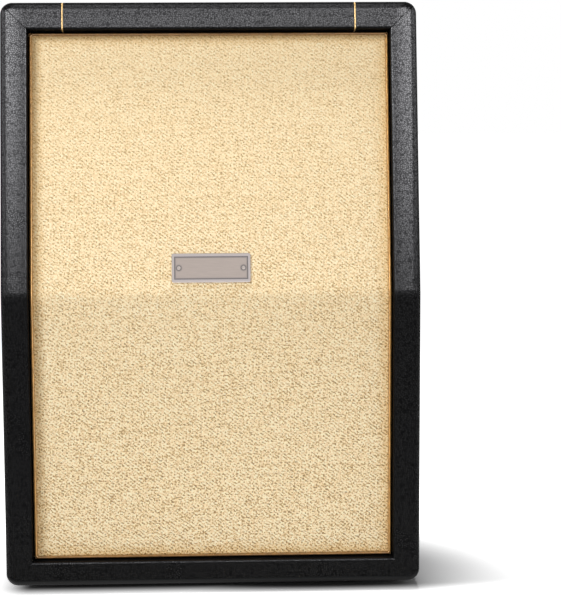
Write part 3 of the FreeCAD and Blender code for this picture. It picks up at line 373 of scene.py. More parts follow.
def makeVinyl():
    material, tree, shader = newMaterial("grainedVinyl", vinyl["shader"])
    place = objectPlace(tree)
    grain = useGroup(tree, "pebbleGrain", {"Vector": place, "Cell": vinyl["cell"]})
    crease = grain["Crease"]
    point = split(tree, place)
    side = calc(tree, "SUBTRACT", calc(tree, "ABSOLUTE", point[0]), lipHalf)
    back = calc(tree, "SUBTRACT", point[1], frontY)
    rise = calc(tree, "SUBTRACT", point[2], kinkZ)
    depth = calc(tree, "MULTIPLY_ADD", back, math.cos(lean), calc(tree, "MULTIPLY", rise, -math.sin(lean)))
    above = calc(tree, "SUBTRACT", alongLean(tree, back, rise), lipSlope)
    mitre = calc(tree, "ABSOLUTE", calc(tree, "SUBTRACT", side, above))
    seam = calc(tree, "MULTIPLY", ramp(tree, mitre, 0.0, vinyl["seamWidth"], 1.0, 0.0),
                calc(tree, "LESS_THAN", depth, vinyl["seamReach"]))
    colour = mixColour(tree, grain["Patch"], vinyl["dark"], vinyl["worn"])
    colour = mixColour(tree, calc(tree, "MAXIMUM", crease, seam), colour, vinyl["crease"])
    # dust greys and dulls the top
    facing = put(tree, "ShaderNodeTexCoord").outputs["Normal"]
    tilt = split(tree, facing)[2]
    dusty = calc(tree, "MULTIPLY", ramp(tree, tilt, *vinyl["dustTilt"]),
                 calc(tree, "GREATER_THAN", point[2], wrapHigh.z - vinyl["dustBand"]))
    settled = calc(tree, "MULTIPLY", dusty, ramp(tree, crease, 0.0, 1.0, 1.0, vinyl["dustInCrease"]))
    feed(tree, mixColour(tree, settled, colour, vinyl["dust"]), shader["Base Color"])
    rough = calc(tree, "MULTIPLY_ADD", grain["Patch"], vinyl["patchRough"], vinyl["rough"])
    feed(tree, calc(tree, "MULTIPLY_ADD", crease, vinyl["creaseRough"], rough), shader["Roughness"])
    gloss = ramp(tree, crease, 0.0, 1.0, *vinyl["gloss"])
    gloss = calc(tree, "MULTIPLY", gloss, ramp(tree, seam, 0.0, vinyl["seamFull"], 1.0, vinyl["seamGloss"]))
    # where it is tucked into the recess it is stretched smooth and shines more
    inward = calc(tree, "MINIMUM", back, depth)
    tucked = calc(tree, "MULTIPLY", calc(tree, "GREATER_THAN", inward, vinyl["tuckStart"]),
                  calc(tree, "LESS_THAN", inward, recess + vinyl["tuckStart"]))
    outside = calc(tree, "MAXIMUM", above, calc(tree, "SUBTRACT", lipLow, point[2]))
    outside = calc(tree, "MAXIMUM", outside, side)
    tucked = calc(tree, "MULTIPLY", tucked, calc(tree, "LESS_THAN", outside, vinyl["tuckPast"]))
    gloss = calc(tree, "MAXIMUM", gloss, calc(tree, "MULTIPLY", tucked, vinyl["tuckGloss"]))
    # the bottom edges are scuffed smooth
    scuffed = calc(tree, "MULTIPLY", ramp(tree, tilt, *vinyl["scuffTilt"]),
                   calc(tree, "LESS_THAN", point[2], wrapLow.z + vinyl["scuffBand"]))
    gloss = calc(tree, "MAXIMUM", gloss, calc(tree, "MULTIPLY", scuffed, vinyl["scuffGloss"]))
    dull = ramp(tree, dusty, 0.0, 1.0, 1.0, vinyl["dustGloss"])
    feed(tree, calc(tree, "MULTIPLY", gloss, dull), shader["Coat Weight"])
    # heights in metres: the grain, the seams, and the fall of the frame's face towards its outer edge
    past = calc(tree, "MAXIMUM", calc(tree, "SUBTRACT", side, vinyl["crownStart"]), 0.0)
    fall = vinyl["crownTilt"] / (2 * vinyl["crownWidth"])
    crown = calc(tree, "MULTIPLY", calc(tree, "MULTIPLY", past, past), -fall)
    height = calc(tree, "MULTIPLY_ADD", grain["Height"], vinyl["relief"], crown)
    height = calc(tree, "MULTIPLY_ADD", seam, -vinyl["seamDepth"], height)
    feed(tree, bump(tree, height, 1.0), shader["Normal"])
    feed(tree, bump(tree, crown, 1.0), shader["Coat Normal"])
    return material


# Cream cloth of uneven straw-coloured yarn
weave = {
    "light": (0.99, 0.89, 0.645, 1.0),
    "middle": (0.93, 0.72, 0.425, 1.0),
    "dark": (0.55, 0.36, 0.165, 1.0),
    "brown": (0.22, 0.12, 0.045, 1.0),
    "brownTone": -0.6,  # the dark shade is at tone 0, the middle one at a half, the light one at 1
    "streakGain": 1.5,
    "fleckScale": 420.0,
    "fleckGain": 2.2,
    "paintedRakeContrast": (1.3, 0.55),  # painted raking shade: how far the tone swings at the lower edge, which the light from above rakes, and at the upper edge
    "paintedEdgeShade": (0.87, 0.75, 0.56, 1.0),
    "paintedEdgeReach": 0.018,
    "relief": 0.0004,
    "reliefStrength": 0.7,
    "shader": {"Roughness": 0.9, "Specular IOR Level": 0.2},
}


def makeClothFinish(width, length):
    material, tree, shader = newMaterial("strawCloth", weave["shader"])
    flat = put(tree, "ShaderNodeUVMap", uv_map="weave").outputs[0]
    point = split(tree, flat)
    across, rise = point[0], point[1]
    yarn = useGroup(tree, "twillWeave", {"Vector": flat})
    tone = swing(tree, yarn["Streak"], weave["streakGain"], yarn["Tone"])
    tone = swing(tree, cloud(tree, flat, weave["fleckScale"]), weave["fleckGain"], tone)
    # painted shade: the weave's tone swings more towards the lower edge, as if raked by light from above
    tone = swing(tree, tone, ramp(tree, rise, 0.0, length, *weave["paintedRakeContrast"]), 0.5)
    colour = mixColour(tree, ramp(tree, tone, weave["brownTone"], 0.0), weave["brown"], weave["dark"])
    colour = mixColour(tree, ramp(tree, tone, 0.0, 0.5), colour, weave["middle"])
    colour = mixColour(tree, ramp(tree, tone, 0.5, 1.0), colour, weave["light"])
    colour = mixColour(tree, yarn["Pinhole"], colour, weave["brown"])
    # painted shade: the cloth is darker and browner beside the piping, where the recess walls shade it
    fromSide = calc(tree, "MINIMUM", across, calc(tree, "SUBTRACT", width, across))
    fromEnd = calc(tree, "MINIMUM", rise, calc(tree, "SUBTRACT", length, rise))
    beside = ramp(tree, calc(tree, "MINIMUM", fromSide, fromEnd), 0.0, weave["paintedEdgeReach"], 1.0, 0.0)
    colour = mixColour(tree, beside, colour, weave["paintedEdgeShade"], blend="MULTIPLY")
    feed(tree, colour, shader["Base Color"])
    feed(tree, bump(tree, yarn["Height"], weave["relief"], weave["reliefStrength"]), shader["Normal"])
    return material


# Gold bead of metallised plastic
trim = {
    "gold": (0.43, 0.22, 0.05, 1.0),
    "pale": (0.84, 0.56, 0.23, 1.0),
    "dim": 0.6,
    "grain": 0.0009,
    "toneEdges": (0.35, 0.7),
    "rough": (0.32, 0.5),
    "relief": 0.00006,
    "paintedRunShade": (0.46, 0.41, 0.33, 1.0),
    "paintedRunReach": 0.006,
    "shader": {"Metallic": 0.3, "Specular IOR Level": 0.5},
}


def makeTrim(name, shade, shadedRuns=False):
    material, tree, shader = newMaterial(name, trim["shader"])
    place = objectPlace(tree)
    grain = useGroup(tree, "fineSpeckle", {"Vector": place, "Grain": trim["grain"]})
    patches = ramp(tree, grain["Tone"], *trim["toneEdges"])
    colour = mixColour(tree, patches, dimmed(shade, trim["dim"]), shade)
    if shadedRuns:
        # painted shade darkens the level runs at the top and bottom of the cloth
        height = split(tree, place)[2]
        low = ramp(tree, height, clothLow.z, clothLow.z + trim["paintedRunReach"], 1.0, 0.0)
        high = ramp(tree, height, clothTop.z - trim["paintedRunReach"], clothTop.z)
        colour = mixColour(tree, calc(tree, "MAXIMUM", low, high), colour, trim["paintedRunShade"], blend="MULTIPLY")
    feed(tree, colour, shader["Base Color"])
    feed(tree, ramp(tree, grain["Sheen"], *cloudRange, *trim["rough"]), shader["Roughness"])
    feed(tree, bump(tree, grain["Height"], trim["relief"]), shader["Normal"])
    return material


# Bare nickel plate: brushed field, polished border, patina along the border, and painted shade round the pins
plate = {
    "field": (0.53, 0.455, 0.415, 1.0),
    "border": (0.56, 0.51, 0.50, 1.0),
    "patinaAndPinShade": (0.10, 0.105, 0.12, 1.0),
    "dim": 0.85,
    "stretch": (60.0, 3000.0, 3000.0),
    "borderWidth": 0.0032,
    "patinaAndShadeReach": 0.0026,
    "edgePatina": 0.95,
    "pinShade": 0.85,
    "pinFromEnd": 0.009,
    "pinHead": 0.0024,
    "rough": 0.40,
    "smudgeRough": 0.14,
    "relief": 0.00003,
}


def makePlate():
    material, tree, shader = newMaterial("brushedPlate", {"Metallic": 1.0})
    place = objectPlace(tree)
    marks = useGroup(tree, "brushMarks", {"Vector": place, "Stretch": plate["stretch"]})
    low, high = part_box("badge_plate")
    middle = (low + high) / 2
    point = split(tree, place)
    aside = calc(tree, "ABSOLUTE", calc(tree, "SUBTRACT", point[0], middle.x))
    rise = calc(tree, "SUBTRACT", point[2], middle.z)
    back = calc(tree, "SUBTRACT", point[1], middle.y)
    up = alongLean(tree, back, rise)
    # how far inside the border a point lies, and how far from a pin's middle
    halfHigh = (high.z - low.z - (high.y - low.y) * math.tan(lean)) / 2 / math.cos(lean)
    halfWide = (high.x - low.x) / 2
    fromEnd = calc(tree, "SUBTRACT", halfWide - plate["borderWidth"], aside)
    fromEdge = calc(tree, "SUBTRACT", halfHigh - plate["borderWidth"], calc(tree, "ABSOLUTE", up))
    inside = calc(tree, "MINIMUM", fromEnd, fromEdge)
    pinGap = reachOf(tree, calc(tree, "SUBTRACT", aside, halfWide - plate["pinFromEnd"]), up)
    brushed = ramp(tree, marks["Line"], *cloudRange)
    colour = mixColour(tree, brushed, dimmed(plate["field"], plate["dim"]), plate["field"])
    colour = mixColour(tree, calc(tree, "LESS_THAN", inside, 0.0), colour, plate["border"])
    beside = ramp(tree, inside, 0.0, plate["patinaAndShadeReach"], plate["edgePatina"], 0.0)
    beside = calc(tree, "MULTIPLY", beside, calc(tree, "GREATER_THAN", inside, 0.0))
    # painted shade: a dark ring round each pin head, in the patina's colour
    pinReach = plate["pinHead"] + plate["patinaAndShadeReach"]
    paintedPinShade = ramp(tree, pinGap, plate["pinHead"], pinReach, plate["pinShade"], 0.0)
    colour = mixColour(tree, calc(tree, "MAXIMUM", beside, paintedPinShade), colour, plate["patinaAndPinShade"])
    feed(tree, colour, shader["Base Color"])
    rough = calc(tree, "MULTIPLY_ADD", marks["Smudge"], plate["smudgeRough"], plate["rough"])
    feed(tree, rough, shader["Roughness"])
    feed(tree, bump(tree, marks["Line"], plate["relief"]), shader["Normal"])
    return material


# Plywood: plies across the thickness, grain along the face
wood = {
    "pale": (0.66, 0.50, 0.32, 1.0),
    "dark": (0.42, 0.28, 0.15, 1.0),
    "ply": 0.0015,
    "plyEdges": (0.4, 0.6),
    "plyShare": 0.25,
    "grainShare": 0.8,
    "stretch": (260.0, 260.0, 14.0),
    "rough": (0.55, 0.75),
    "relief": 0.0001,
    "shader": {"Specular IOR Level": 0.35},
}


def makePlywood():
    material, tree, shader = newMaterial("birchPlywood", wood["shader"])
    place = objectPlace(tree)
    marks = useGroup(tree, "brushMarks", {"Vector": place, "Stretch": wood["stretch"]})
    point = split(tree, place)
    across = calc(tree, "ADD", point[0], calc(tree, "ADD", point[1], point[2]))
    layer = calc(tree, "PINGPONG", across, wood["ply"])
    plies = ramp(tree, layer, *[wood["ply"] * edge for edge in wood["plyEdges"]])
    tone = calc(tree, "MULTIPLY", marks["Line"], wood["grainShare"])
    tone = calc(tree, "MULTIPLY_ADD", plies, wood["plyShare"], tone)
    feed(tree, mixColour(tree, tone, wood["dark"], wood["pale"]), shader["Base Color"])
    feed(tree, ramp(tree, marks["Smudge"], *cloudRange, *wood["rough"]), shader["Roughness"])
    feed(tree, bump(tree, marks["Line"], wood["relief"]), shader["Normal"])
    return material


# The spider's resin-dipped cloth
dipped = {
    "light": (0.58, 0.40, 0.19, 1.0),
    "dark": (0.36, 0.22, 0.09, 1.0),
    "yarn": {"Warp": 0.0008, "Weft": 0.0008, "Wander": 0.2},
    "rough": (0.6, 0.8),
    "relief": 0.0002,
    "shader": {"Specular IOR Level": 0.3, "Sheen Weight": 0.1},
}


def makeSpiderCloth():
    material, tree, shader = newMaterial("spiderCloth", dipped["shader"])
    yarn = useGroup(tree, "twillWeave", {"Vector": objectPlace(tree), **dipped["yarn"]})
    feed(tree, mixColour(tree, yarn["Tone"], dipped["dark"], dipped["light"]), shader["Base Color"])
    feed(tree, ramp(tree, yarn["Streak"], *cloudRange, *dipped["rough"]), shader["Roughness"])
    feed(tree, bump(tree, yarn["Height"], dipped["relief"]), shader["Normal"])
    return material


def makeSpeckled(name, constants, colours, roughs, grain, relief):
    material, tree, shader = newMaterial(name, constants)
    speckle = useGroup(tree, "fineSpeckle", {"Vector": objectPlace(tree), "Grain": grain})
    feed(tree, mixColour(tree, ramp(tree, speckle["Tone"], *cloudRange), *colours), shader["Base Color"])
    feed(tree, ramp(tree, speckle["Sheen"], *cloudRange, *roughs), shader["Roughness"])
    feed(tree, bump(tree, speckle["Height"], relief), shader["Normal"])
    return material


# Bare metals: how dim the patches are, and how far the roughness swings down and up
metal = {"dim": 0.7, "smoother": 0.08, "rougher": 0.12, "relief": 0.00002}


def makeMetal(name, colour, roughness, grain=0.0005):
    colours = (dimmed(colour, metal["dim"]), colour)
    roughs = (roughness - metal["smoother"], roughness + metal["rougher"])
    return makeSpeckled(name, {"Metallic": 1.0}, colours, roughs, grain, metal["relief"])


# Plastics, paints, rubber and board, in the same terms
matt = {"dim": 0.75, "smoother": 0.06, "rougher": 0.1}


def makeMatt(name, colour, roughness, grain, relief=0.00006, specular=0.4):
    colours = (dimmed(colour, matt["dim"]), colour)
    roughs = (roughness - matt["smoother"], roughness + matt["rougher"])
    return makeSpeckled(name, {"Specular IOR Level": specular}, colours, roughs, grain, relief)


# Cone paper with pressed fibres
paper = {
    "colours": ((0.018, 0.016, 0.014, 1.0), (0.05, 0.045, 0.04, 1.0)),
    "roughs": (0.7, 0.9),
    "grain": 0.0011,
    "relief": 0.0002,
    "constants": {"Specular IOR Level": 0.3},
}

finishes = {
    "vinyl": makeVinyl(),
    "plywood": makePlywood(),
    "plate": makePlate(),
    "nickel": makeMetal("satinNickel", (0.62, 0.55, 0.51, 1.0), 0.36),
    "piping": makeTrim("goldPiping", trim["gold"], shadedRuns=True),
    "inlay": makeTrim("goldInlay", trim["pale"]),
    "moulding": makeMatt("blackMoulding", (0.014, 0.014, 0.015, 1.0), 0.48, grain=0.0007, relief=0.00008),
    "blackSteel": makeMatt("blackSteel", (0.016, 0.016, 0.016, 1.0), 0.38, grain=0.0004, relief=0.00003),
    "zinc": makeMetal("zincPlate", (0.62, 0.61, 0.59, 1.0), 0.3),
    "rubber": makeMatt("footRubber", (0.012, 0.012, 0.012, 1.0), 0.7, grain=0.0008, relief=0.0001,
                       specular=0.3),
    "cableJacket": makeMatt("cableJacket", (0.02, 0.02, 0.02, 1.0), 0.5, grain=0.0009),
    "gasket": makeMatt("gasketBoard", (0.30, 0.23, 0.15, 1.0), 0.85, grain=0.0009, relief=0.0001),
    "phenolic": makeMatt("terminalBoard", (0.16, 0.08, 0.035, 1.0), 0.5, grain=0.0008),
    "paper": makeSpeckled("conePaper", **paper),
    "spider": makeSpiderCloth(),
    "copper": makeMetal("coilCopper", (0.70, 0.33, 0.17, 1.0), 0.32, grain=0.0003),
    "ferrite": makeMatt("darkFerrite", (0.035, 0.035, 0.037, 1.0), 0.55, grain=0.0005),
}
print("finishes made:", len(finishes))

# Nodes that are not named here are plywood
nodeFinish = {
    "vinyl": ["vinyl_wrap", "vinyl_top", "vinyl_back"],
    "plate": ["badge_plate"],
    "nickel": ["badge_pins", "jack_nut"],
    "piping": ["grille_piping"],
    "inlay": ["inlay_cord_left", "inlay_cord_right"],
    "moulding": ["handle_dish_left", "handle_dish_right", "handle_grip_left", "handle_grip_right",
                 "jack_cup", "jack_socket"],
    "blackSteel": ["trim_screws", "speaker_bolts", "basket_upper", "basket_lower"],
    "zinc": ["back_screws", "back_cup_washers", "foot_screws", "baffle_screws", "t_nuts",
             "front_plate_upper", "front_plate_lower", "pole_yoke_upper", "pole_yoke_lower"],
    "rubber": ["rubber_feet"],
    "cableJacket": ["speaker_cables"],
    "gasket": ["gasket_upper", "gasket_lower"],
    "phenolic": ["terminal_strips"],
    "paper": ["cone_upper", "cone_lower", "dust_cap_upper", "dust_cap_lower",
              "surround_upper", "surround_lower"],
    "spider": ["spider_upper", "spider_lower"],
    "copper": ["voice_coil_upper", "voice_coil_lower"],
    "ferrite": ["magnet_upper", "magnet_lower"],
}


def dressNodes():
    chosen = {name: finish for finish, names in nodeFinish.items() for name in names}
    for name, node in nodes.items():
        node.data.materials.clear()
        node.data.materials.append(finishes[chosen.get(name, "plywood")])


dressNodes()
print("nodes dressed:", len(nodes))

# The cloth, stretched over both baffles and turned back over their edges
cloth = {
    "foldRadius": 0.034,
    "step": 0.004,
    "turnBack": 0.014,
    "turnSteps": 2,
    "thickness": 0.0007,
    "slack": 0.00012,
    "slackScale": 55.0,
}
leanUp = Vector((0, math.sin(lean), math.cos(lean)))
leanOut = Vector((0, -math.cos(lean), math.sin(lean)))
foldTangent = cloth["foldRadius"] * math.tan(lean / 2)
foldArc = cloth["foldRadius"] * lean
lowerRun = clothFold - clothLow.z - foldTangent
upperRun = (clothTop.z - clothFold) / math.cos(lean) - foldTangent


def clothLine(distance):
    # point and outward direction on the face, measured up from its lower edge
    if distance < lowerRun:
        return Vector((0, clothLow.y, clothLow.z + distance)), Vector((0, -1, 0))
    if distance < lowerRun + foldArc:
        turn = (distance - lowerRun) / cloth["foldRadius"]
        centre = Vector((0, clothLow.y + cloth["foldRadius"], clothLow.z + lowerRun))
        out = Vector((0, -math.cos(turn), math.sin(turn)))
        return centre + out * cloth["foldRadius"], out
    start = Vector((0, clothLow.y, clothFold)) + leanUp * foldTangent
    return start + leanUp * (distance - lowerRun - foldArc), leanOut


def clothSteps(size):
    turn = cloth["turnBack"]
    count = round(size / cloth["step"])
    steps = [size * i / count for i in range(count + 1)]
    return [-turn, -turn / 2] + steps + [size + turn / 2, size + turn]


def clothGrid(build, width, length):
    grid = []
    for along in clothSteps(length):
        line = []
        for across in clothSteps(width):
            inAlong = min(max(along, 0.0), length)
            inAcross = min(max(across, 0.0), width)
            point, out = clothLine(inAlong)
            folded = max(abs(along - inAlong), abs(across - inAcross))
            spot = Vector((across * cloth["slackScale"], along * cloth["slackScale"], 0.0))
            sink = cloth["slack"] * (1.0 - noise.noise(spot)) + folded
            point = point - out * sink + Vector((clothLow.x + inAcross, 0, 0))
            line.append((build.verts.new(point), across, along))
        grid.append(line)
    return grid


def turnedBack(index, count):
    return index < cloth["turnSteps"] or index >= count - cloth["turnSteps"]


def fillCloth(build, grid, layer):
    rows, columns = len(grid) - 1, len(grid[0]) - 1
    for r in range(rows):
        for c in range(columns):
            if turnedBack(r, rows) and turnedBack(c, columns):
                continue  # the corners are cut out
            ring = [grid[r][c], grid[r][c + 1], grid[r + 1][c + 1], grid[r + 1][c]]
            face = build.faces.new([entry[0] for entry in ring])
            face.smooth = True
            for loop, entry in zip(face.loops, ring):
                loop[layer].uv = (entry[1], entry[2])
    for vert in [v for v in build.verts if not v.link_faces]:
        build.verts.remove(vert)


def addPiece(name, build, material):
    mesh = bpy.data.meshes.new(name)
    build.to_mesh(mesh)
    build.free()
    mesh.materials.append(material)
    piece = bpy.data.objects.new(name, mesh)
    bpy.context.scene.collection.objects.link(piece)
    return piece


def buildCloth():
    width, length = clothHigh.x - clothLow.x, lowerRun + foldArc + upperRun
    build = bmesh.new()
    layer = build.loops.layers.uv.new("weave")
    fillCloth(build, clothGrid(build, width, length), layer)
    piece = addPiece("grille_weave", build, makeClothFinish(width, length))
    solid = piece.modifiers.new("thickness", "SOLIDIFY")
    solid.thickness = cloth["thickness"]
    solid.offset = -1.0
    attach(piece, "cabinet")
    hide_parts("grille_cloth")


buildCloth()

# Screws with a dome and a cross recess, one for each plain screw of the frame, in shares of the head's radius
screw = {
    "groups": {"trim_screws": ("blackSteel", "black_steel"), "back_screws": ("zinc", "plated_steel")},
    "apart": 0.04,  # points of one screw lie within this many metres
    "sides": 24,
    "rim": 0.9,
    "uprightRim": 0.05,
    "shank": 0.48,
    "point": 0.3,  # the tip's width and the taper's length are shares of the shank
    "taper": 2.0,
    "domeRings": (0.92, 0.8, 0.7),
    "armLength": 0.58,
    "armWidth": 0.15,
    "recessDepth": 0.42,
    "floorLength": 0.5,  # the recess floor's size is a share of the arms
    "floorWidth": 0.8,
}


def screwGroups(node):
    groups = []
    for vert in nodes[node].data.vertices:
        near = [group for group in groups if (group[0] - vert.co).length < screw["apart"]]
        if near:
            near[0].append(vert.co)
        else:
            groups.append([vert.co])
    return groups


def screwFrame(points):
    # centre line and outward direction of one screw, and its heights along that line
    low = Vector([min(co[k] for co in points) for k in range(3)])
    high = Vector([max(co[k] for co in points) for k in range(3)])
    along = max(range(3), key=lambda k: high[k] - low[k])
    middle = (low + high) / 2
    first, second = [k for k in range(3) if k != along]
    radius = max(high[k] - low[k] for k in (first, second)) / 2
    wide = []
    for co in points:
        if math.hypot(co[first] - middle[first], co[second] - middle[second]) > radius * screw["rim"]:
            wide.append(co[along])
    outward = 1.0 if sum(wide) / len(wide) > middle[along] else -1.0
    out = Vector([outward if k == along else 0.0 for k in range(3)])
    heights = sorted(outward * value for value in (low[along], high[along], min(wide), max(wide)))
    return middle - out * middle.dot(out), out, radius, heights


def crossOutline(reach, width):
    # twelve corners of a plus sign, counter-clockwise
    quarter = [(reach, -width), (reach, width), (width, width)]
    corners = []
    for turn in range(4):
        c, s = round(math.cos(turn * math.pi / 2)), round(math.sin(turn * math.pi / 2))
        corners += [(x * c - y * s, x * s + y * c) for x, y in quarter]
    return corners


def addScrew(build, points):
    foot, out, radius, (tip, seat, rim, top) = screwFrame(points)
    side = out.orthogonal().normalized()
    other = out.cross(side)

    def vert(x, y, height):
        return build.verts.new(foot + side * x + other * y + out * height)

    def ring(share, height):
        angles = [2 * math.pi * i / screw["sides"] for i in range(screw["sides"])]
        return [vert(radius * share * math.cos(a), radius * share * math.sin(a), height) for a in angles]

    def dome(share):
        return rim + (top - rim) * (1 - share * share)

    def join(lower, upper, smooth=True):
        for i in range(len(lower)):
            j = (i + 1) % len(lower)
            build.faces.new((lower[i], lower[j], upper[j], upper[i])).smooth = smooth

    shank = screw["shank"]
    under = seat
    if rim - seat < radius * screw["uprightRim"]:
        under = min(seat, rim - radius * (1 - shank))  # a countersunk head tapers down to its shank
    taper = tip + screw["taper"] * shank * radius
    rings = [ring(shank * screw["point"], tip), ring(shank, taper), ring(shank, under), ring(1.0, seat)]
    if rim > seat:
        rings.append(ring(1.0, rim))
    rings += [ring(share, dome(share)) for share in screw["domeRings"]]
    for lower, upper in zip(rings, rings[1:]):
        join(lower, upper)
    build.faces.new(list(reversed(rings[0])))
    # the cross is cut from the dome down to a smaller cross
    reach, width = screw["armLength"], screw["armWidth"]
    mouth = [vert(radius * x, radius * y, dome(math.hypot(x, y))) for x, y in crossOutline(reach, width)]
    sunk = top - radius * screw["recessDepth"]
    small = crossOutline(reach * screw["floorLength"], width * screw["floorWidth"])
    bottom = [vert(radius * x, radius * y, sunk) for x, y in small]
    edges = []
    for loop in (rings[-1], mouth):
        for a, b in zip(loop, loop[1:] + loop[:1]):
            edges.append(build.edges.get((a, b)) or build.edges.new((a, b)))
    bmesh.ops.triangle_fill(build, use_beauty=True, edges=edges, normal=out)
    join(mouth, bottom, smooth=False)
    build.faces.new(bottom)


def buildScrews():
    for node, (finish, slot) in screw["groups"].items():
        build = bmesh.new()
        groups = screwGroups(node)
        for points in groups:
            addScrew(build, points)
        bmesh.ops.recalc_face_normals(build, faces=build.faces)
        piece = addPiece(node + "_crossed", build, finishes[finish])
        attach(piece, "cabinet")
        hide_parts(node)
        print("screws cut:", piece.name, len(groups))


buildScrews()

# Pale floor that the camera sees as white; its glow is painted away beside the cabinet's right foot and round
# its foot, so that the shadow shows only there
floor = {
    "half": 14.0,
    "colour": (0.82, 0.82, 0.82, 1.0),
    "shadowPlace": (0.14, -0.10),
    "leftScale": 1.3,
    "frontScale": 7.5,
    "backScale": 1.6,
    "shadowReach": 0.18,
    "whiteReach": 0.55,
    "contactReach": 0.05,
    "litSide": 0.036,
    "glow": 1.0,
}
sky = {"colour": (1.0, 1.0, 1.0, 1.0), "light": 0.18, "seen": 1.0}


def stagePlane(name, half, material):
    corners = [(-half, -half, 0), (half, -half, 0), (half, half, 0), (-half, half, 0)]
    mesh = bpy.data.meshes.new(name)
    mesh.from_pydata(corners, [], [(0, 1, 2, 3)])
    mesh.materials.append(material)
    piece = bpy.data.objects.new(name, mesh)
    bpy.context.scene.collection.objects.link(piece)


def seenDirectly(tree):
    path = put(tree, "ShaderNodeLightPath").outputs
    mirrored = calc(tree, "ADD", path["Is Glossy Ray"], path["Is Transmission Ray"])
    return calc(tree, "MINIMUM", 1.0, calc(tree, "ADD", path["Is Camera Ray"], mirrored))


def floorGlow(tree):
    point = split(tree, objectPlace(tree))
    aside = calc(tree, "SUBTRACT", point[0], floor["shadowPlace"][0])
    aside = calc(tree, "MAXIMUM", aside, calc(tree, "MULTIPLY", aside, -floor["leftScale"]))
    behind = calc(tree, "SUBTRACT", point[1], floor["shadowPlace"][1])
    away = calc(tree, "MAXIMUM", calc(tree, "MULTIPLY", behind, floor["backScale"]),
                calc(tree, "MULTIPLY", behind, -floor["frontScale"]))
    reach = reachOf(tree, aside, away)
    glow = ramp(tree, reach, floor["shadowReach"], floor["whiteReach"], 0.0, floor["glow"], smooth=True)

    # painted shadow: the glow also dies away close to the cabinet's foot, less on the left and front
    def outside(axis):
        before = calc(tree, "SUBTRACT", cadBox[0][axis] + floor["litSide"], point[axis])
        beyond = calc(tree, "MAXIMUM", calc(tree, "SUBTRACT", point[axis], cadBox[1][axis]), before)
        return calc(tree, "MAXIMUM", beyond, 0.0)

    clear = ramp(tree, reachOf(tree, outside(0), outside(1)), 0.0, floor["contactReach"], smooth=True)
    return calc(tree, "MINIMUM", glow, clear)


def floorFinish():
    material = bpy.data.materials.new("paleFloor")
    material.use_nodes = True
    tree = material.node_tree
    tree.nodes.clear()
    glow = calc(tree, "MULTIPLY", floorGlow(tree), seenDirectly(tree))
    diffuse = put(tree, "ShaderNodeBsdfDiffuse", {"Color": floor["colour"]}).outputs[0]
    light = put(tree, "ShaderNodeEmission", {"Strength": glow}).outputs[0]
    both = put(tree, "ShaderNodeAddShader", {0: diffuse, 1: light}).outputs[0]
    put(tree, "ShaderNodeOutputMaterial", {"Surface": both})
    return material


def buildStage():
    stagePlane("floor", floor["half"], floorFinish())
    world = bpy.data.worlds.new("studio")
    world.use_nodes = True
    tree = world.node_tree
    background = tree.nodes["Background"].inputs
    strength = ramp(tree, seenDirectly(tree), 0.0, 1.0, sky["light"], sky["seen"])
    feed(tree, strength, background["Strength"])
    feed(tree, sky["colour"], background["Color"])
    bpy.context.scene.world = world


# Softboxes: role, place, aim, size, watts, spread in degrees. Body lamps leave out the floor. Sheen lamps
# show only in the covering and glint lamps only in the gold trim, both without diffuse light.
lamps = {
    "keyLeft": ("body", (-1.76, -1.60, 2.35), (0.0, -0.1, 0.55), (0.8, 0.8), 30.6, 120.0),
    "fillFront": ("body", (0.7, -3.4, 0.85), (0.0, -0.1, 0.4), (1.2, 1.2), 13.9, 120.0),
    "frontHigh": ("sheen", (0.0, -3.7, 2.0), (0.0, -0.1, 0.5), (0.8, 0.9), 17.0, 90.0),
    "softLeft": ("sheen", (-2.03, -2.95, 2.12), (0.0, -0.1, 0.5), (3.4, 1.15), 200.0, 90.0),
    "softRight": ("sheen", (2.03, -2.95, 2.12), (0.0, -0.1, 0.5), (3.4, 1.15), 195.0, 90.0),
    "overTop": ("sheen", (0.0, -1.3, 3.3), (0.0, 0.0, 0.7), (2.0, 3.4), 52.0, 90.0),
    "sideLeft": ("sheen", (-3.5, 0.0, 1.4), (0.0, 0.0, 0.4), (4.0, 1.6), 57.0, 90.0),
    "sideRight": ("sheen", (3.5, 0.0, 1.4), (0.0, 0.0, 0.4), (4.0, 1.6), 52.0, 90.0),
    "softBack": ("sheen", (0.0, 3.6, 1.5), (0.0, 0.15, 0.4), (3.0, 1.0), 45.0, 90.0),
    "glintLeft": ("glint", (-1.7, -2.6, 0.75), (0.0, -0.1, 0.4), (0.6, 1.6), 40.0, 90.0),
    "glintRight": ("glint", (1.7, -2.6, 0.75), (0.0, -0.1, 0.4), (0.6, 1.6), 40.0, 90.0),
    "overFloor": ("floor", (0.107, 0.2, 3.2), (0.15, 0.0, 0.0), (0.53, 0.8), 20.5, 80.0),
}
sheenTint = (0.97, 0.965, 1.0)


def linkedTo(name, pieces, state):
    group = bpy.data.collections.new(name)
    for piece in pieces:
        group.objects.link(piece)
    for entry in group.collection_objects:
        entry.light_linking.link_state = state
    return group


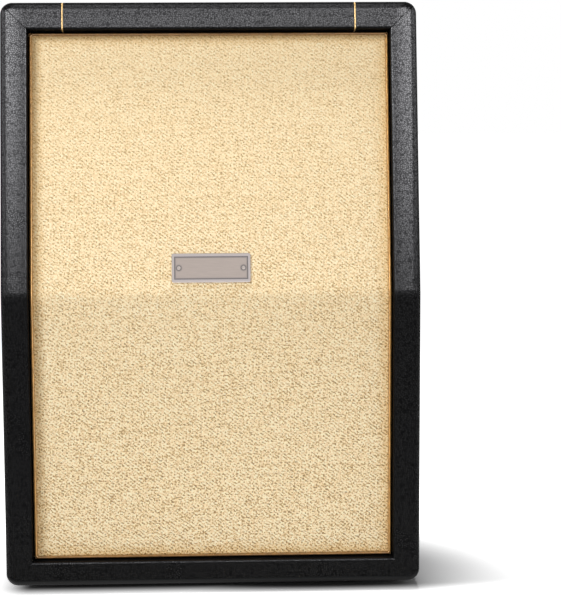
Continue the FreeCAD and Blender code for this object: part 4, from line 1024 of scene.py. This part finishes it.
def buildLamps():
    gold = nodeFinish["piping"] + nodeFinish["inlay"]
    reached = {
        "body": linkedTo("notFloor", [bpy.data.objects["floor"]], "EXCLUDE"),
        "sheen": linkedTo("covering", [nodes[name] for name in nodeFinish["vinyl"]], "INCLUDE"),
        "glint": linkedTo("goldTrim", [nodes[name] for name in gold], "INCLUDE"),
    }
    for name, (role, place, aim, size, watts, spread) in lamps.items():
        data = bpy.data.lights.new(name, "AREA")
        data.shape = "RECTANGLE"
        data.size, data.size_y = size
        data.energy = watts
        data.spread = math.radians(spread)
        if role == "sheen":
            data.color = sheenTint
        lamp = bpy.data.objects.new(name, data)
        bpy.context.scene.collection.objects.link(lamp)
        lamp.location = place
        lamp.rotation_euler = (Vector(aim) - Vector(place)).to_track_quat("-Z", "Y").to_euler()
        lamp.visible_camera = False
        lamp.visible_glossy = role in ("sheen", "glint")
        lamp.visible_diffuse = not lamp.visible_glossy
        if role in reached:
            lamp.light_linking.receiver_collection = reached[role]


# Camera that stands where the photograph was taken: metres, degrees, focal length in pixels of the side
view = {
    "place": (-0.0112, -2.600, 0.6853),
    "yaw": 2.292,
    "pitch": 7.173,
    "roll": -0.215,
    "focal": 1961.3,
    "side": 600,
    "sensor": 36.0,
    "clipEnd": 50.0,
}


def buildCamera():
    data = bpy.data.cameras.new("camera")
    data.sensor_width = view["sensor"]
    data.lens = view["sensor"] * view["focal"] / view["side"]
    data.clip_end = view["clipEnd"]
    camera = bpy.data.objects.new("camera", data)
    bpy.context.scene.collection.objects.link(camera)
    yaw, pitch, roll = (math.radians(view[key]) for key in ("yaw", "pitch", "roll"))
    ahead = Vector((math.sin(yaw) * math.cos(pitch), math.cos(yaw) * math.cos(pitch), -math.sin(pitch)))
    right = Vector((math.cos(yaw), -math.sin(yaw), 0))
    up = right.cross(ahead)
    turnedRight = right * math.cos(roll) + up * math.sin(roll)
    turnedUp = up * math.cos(roll) - right * math.sin(roll)
    pose = Matrix((turnedRight, turnedUp, -ahead)).transposed().to_4x4()
    pose.translation = Vector(view["place"])
    camera.matrix_world = pose
    bpy.context.scene.camera = camera


buildStage()
buildLamps()
buildCamera()
bpy.context.scene.view_settings.view_transform = "Standard"
print("stage, lamps and camera set")
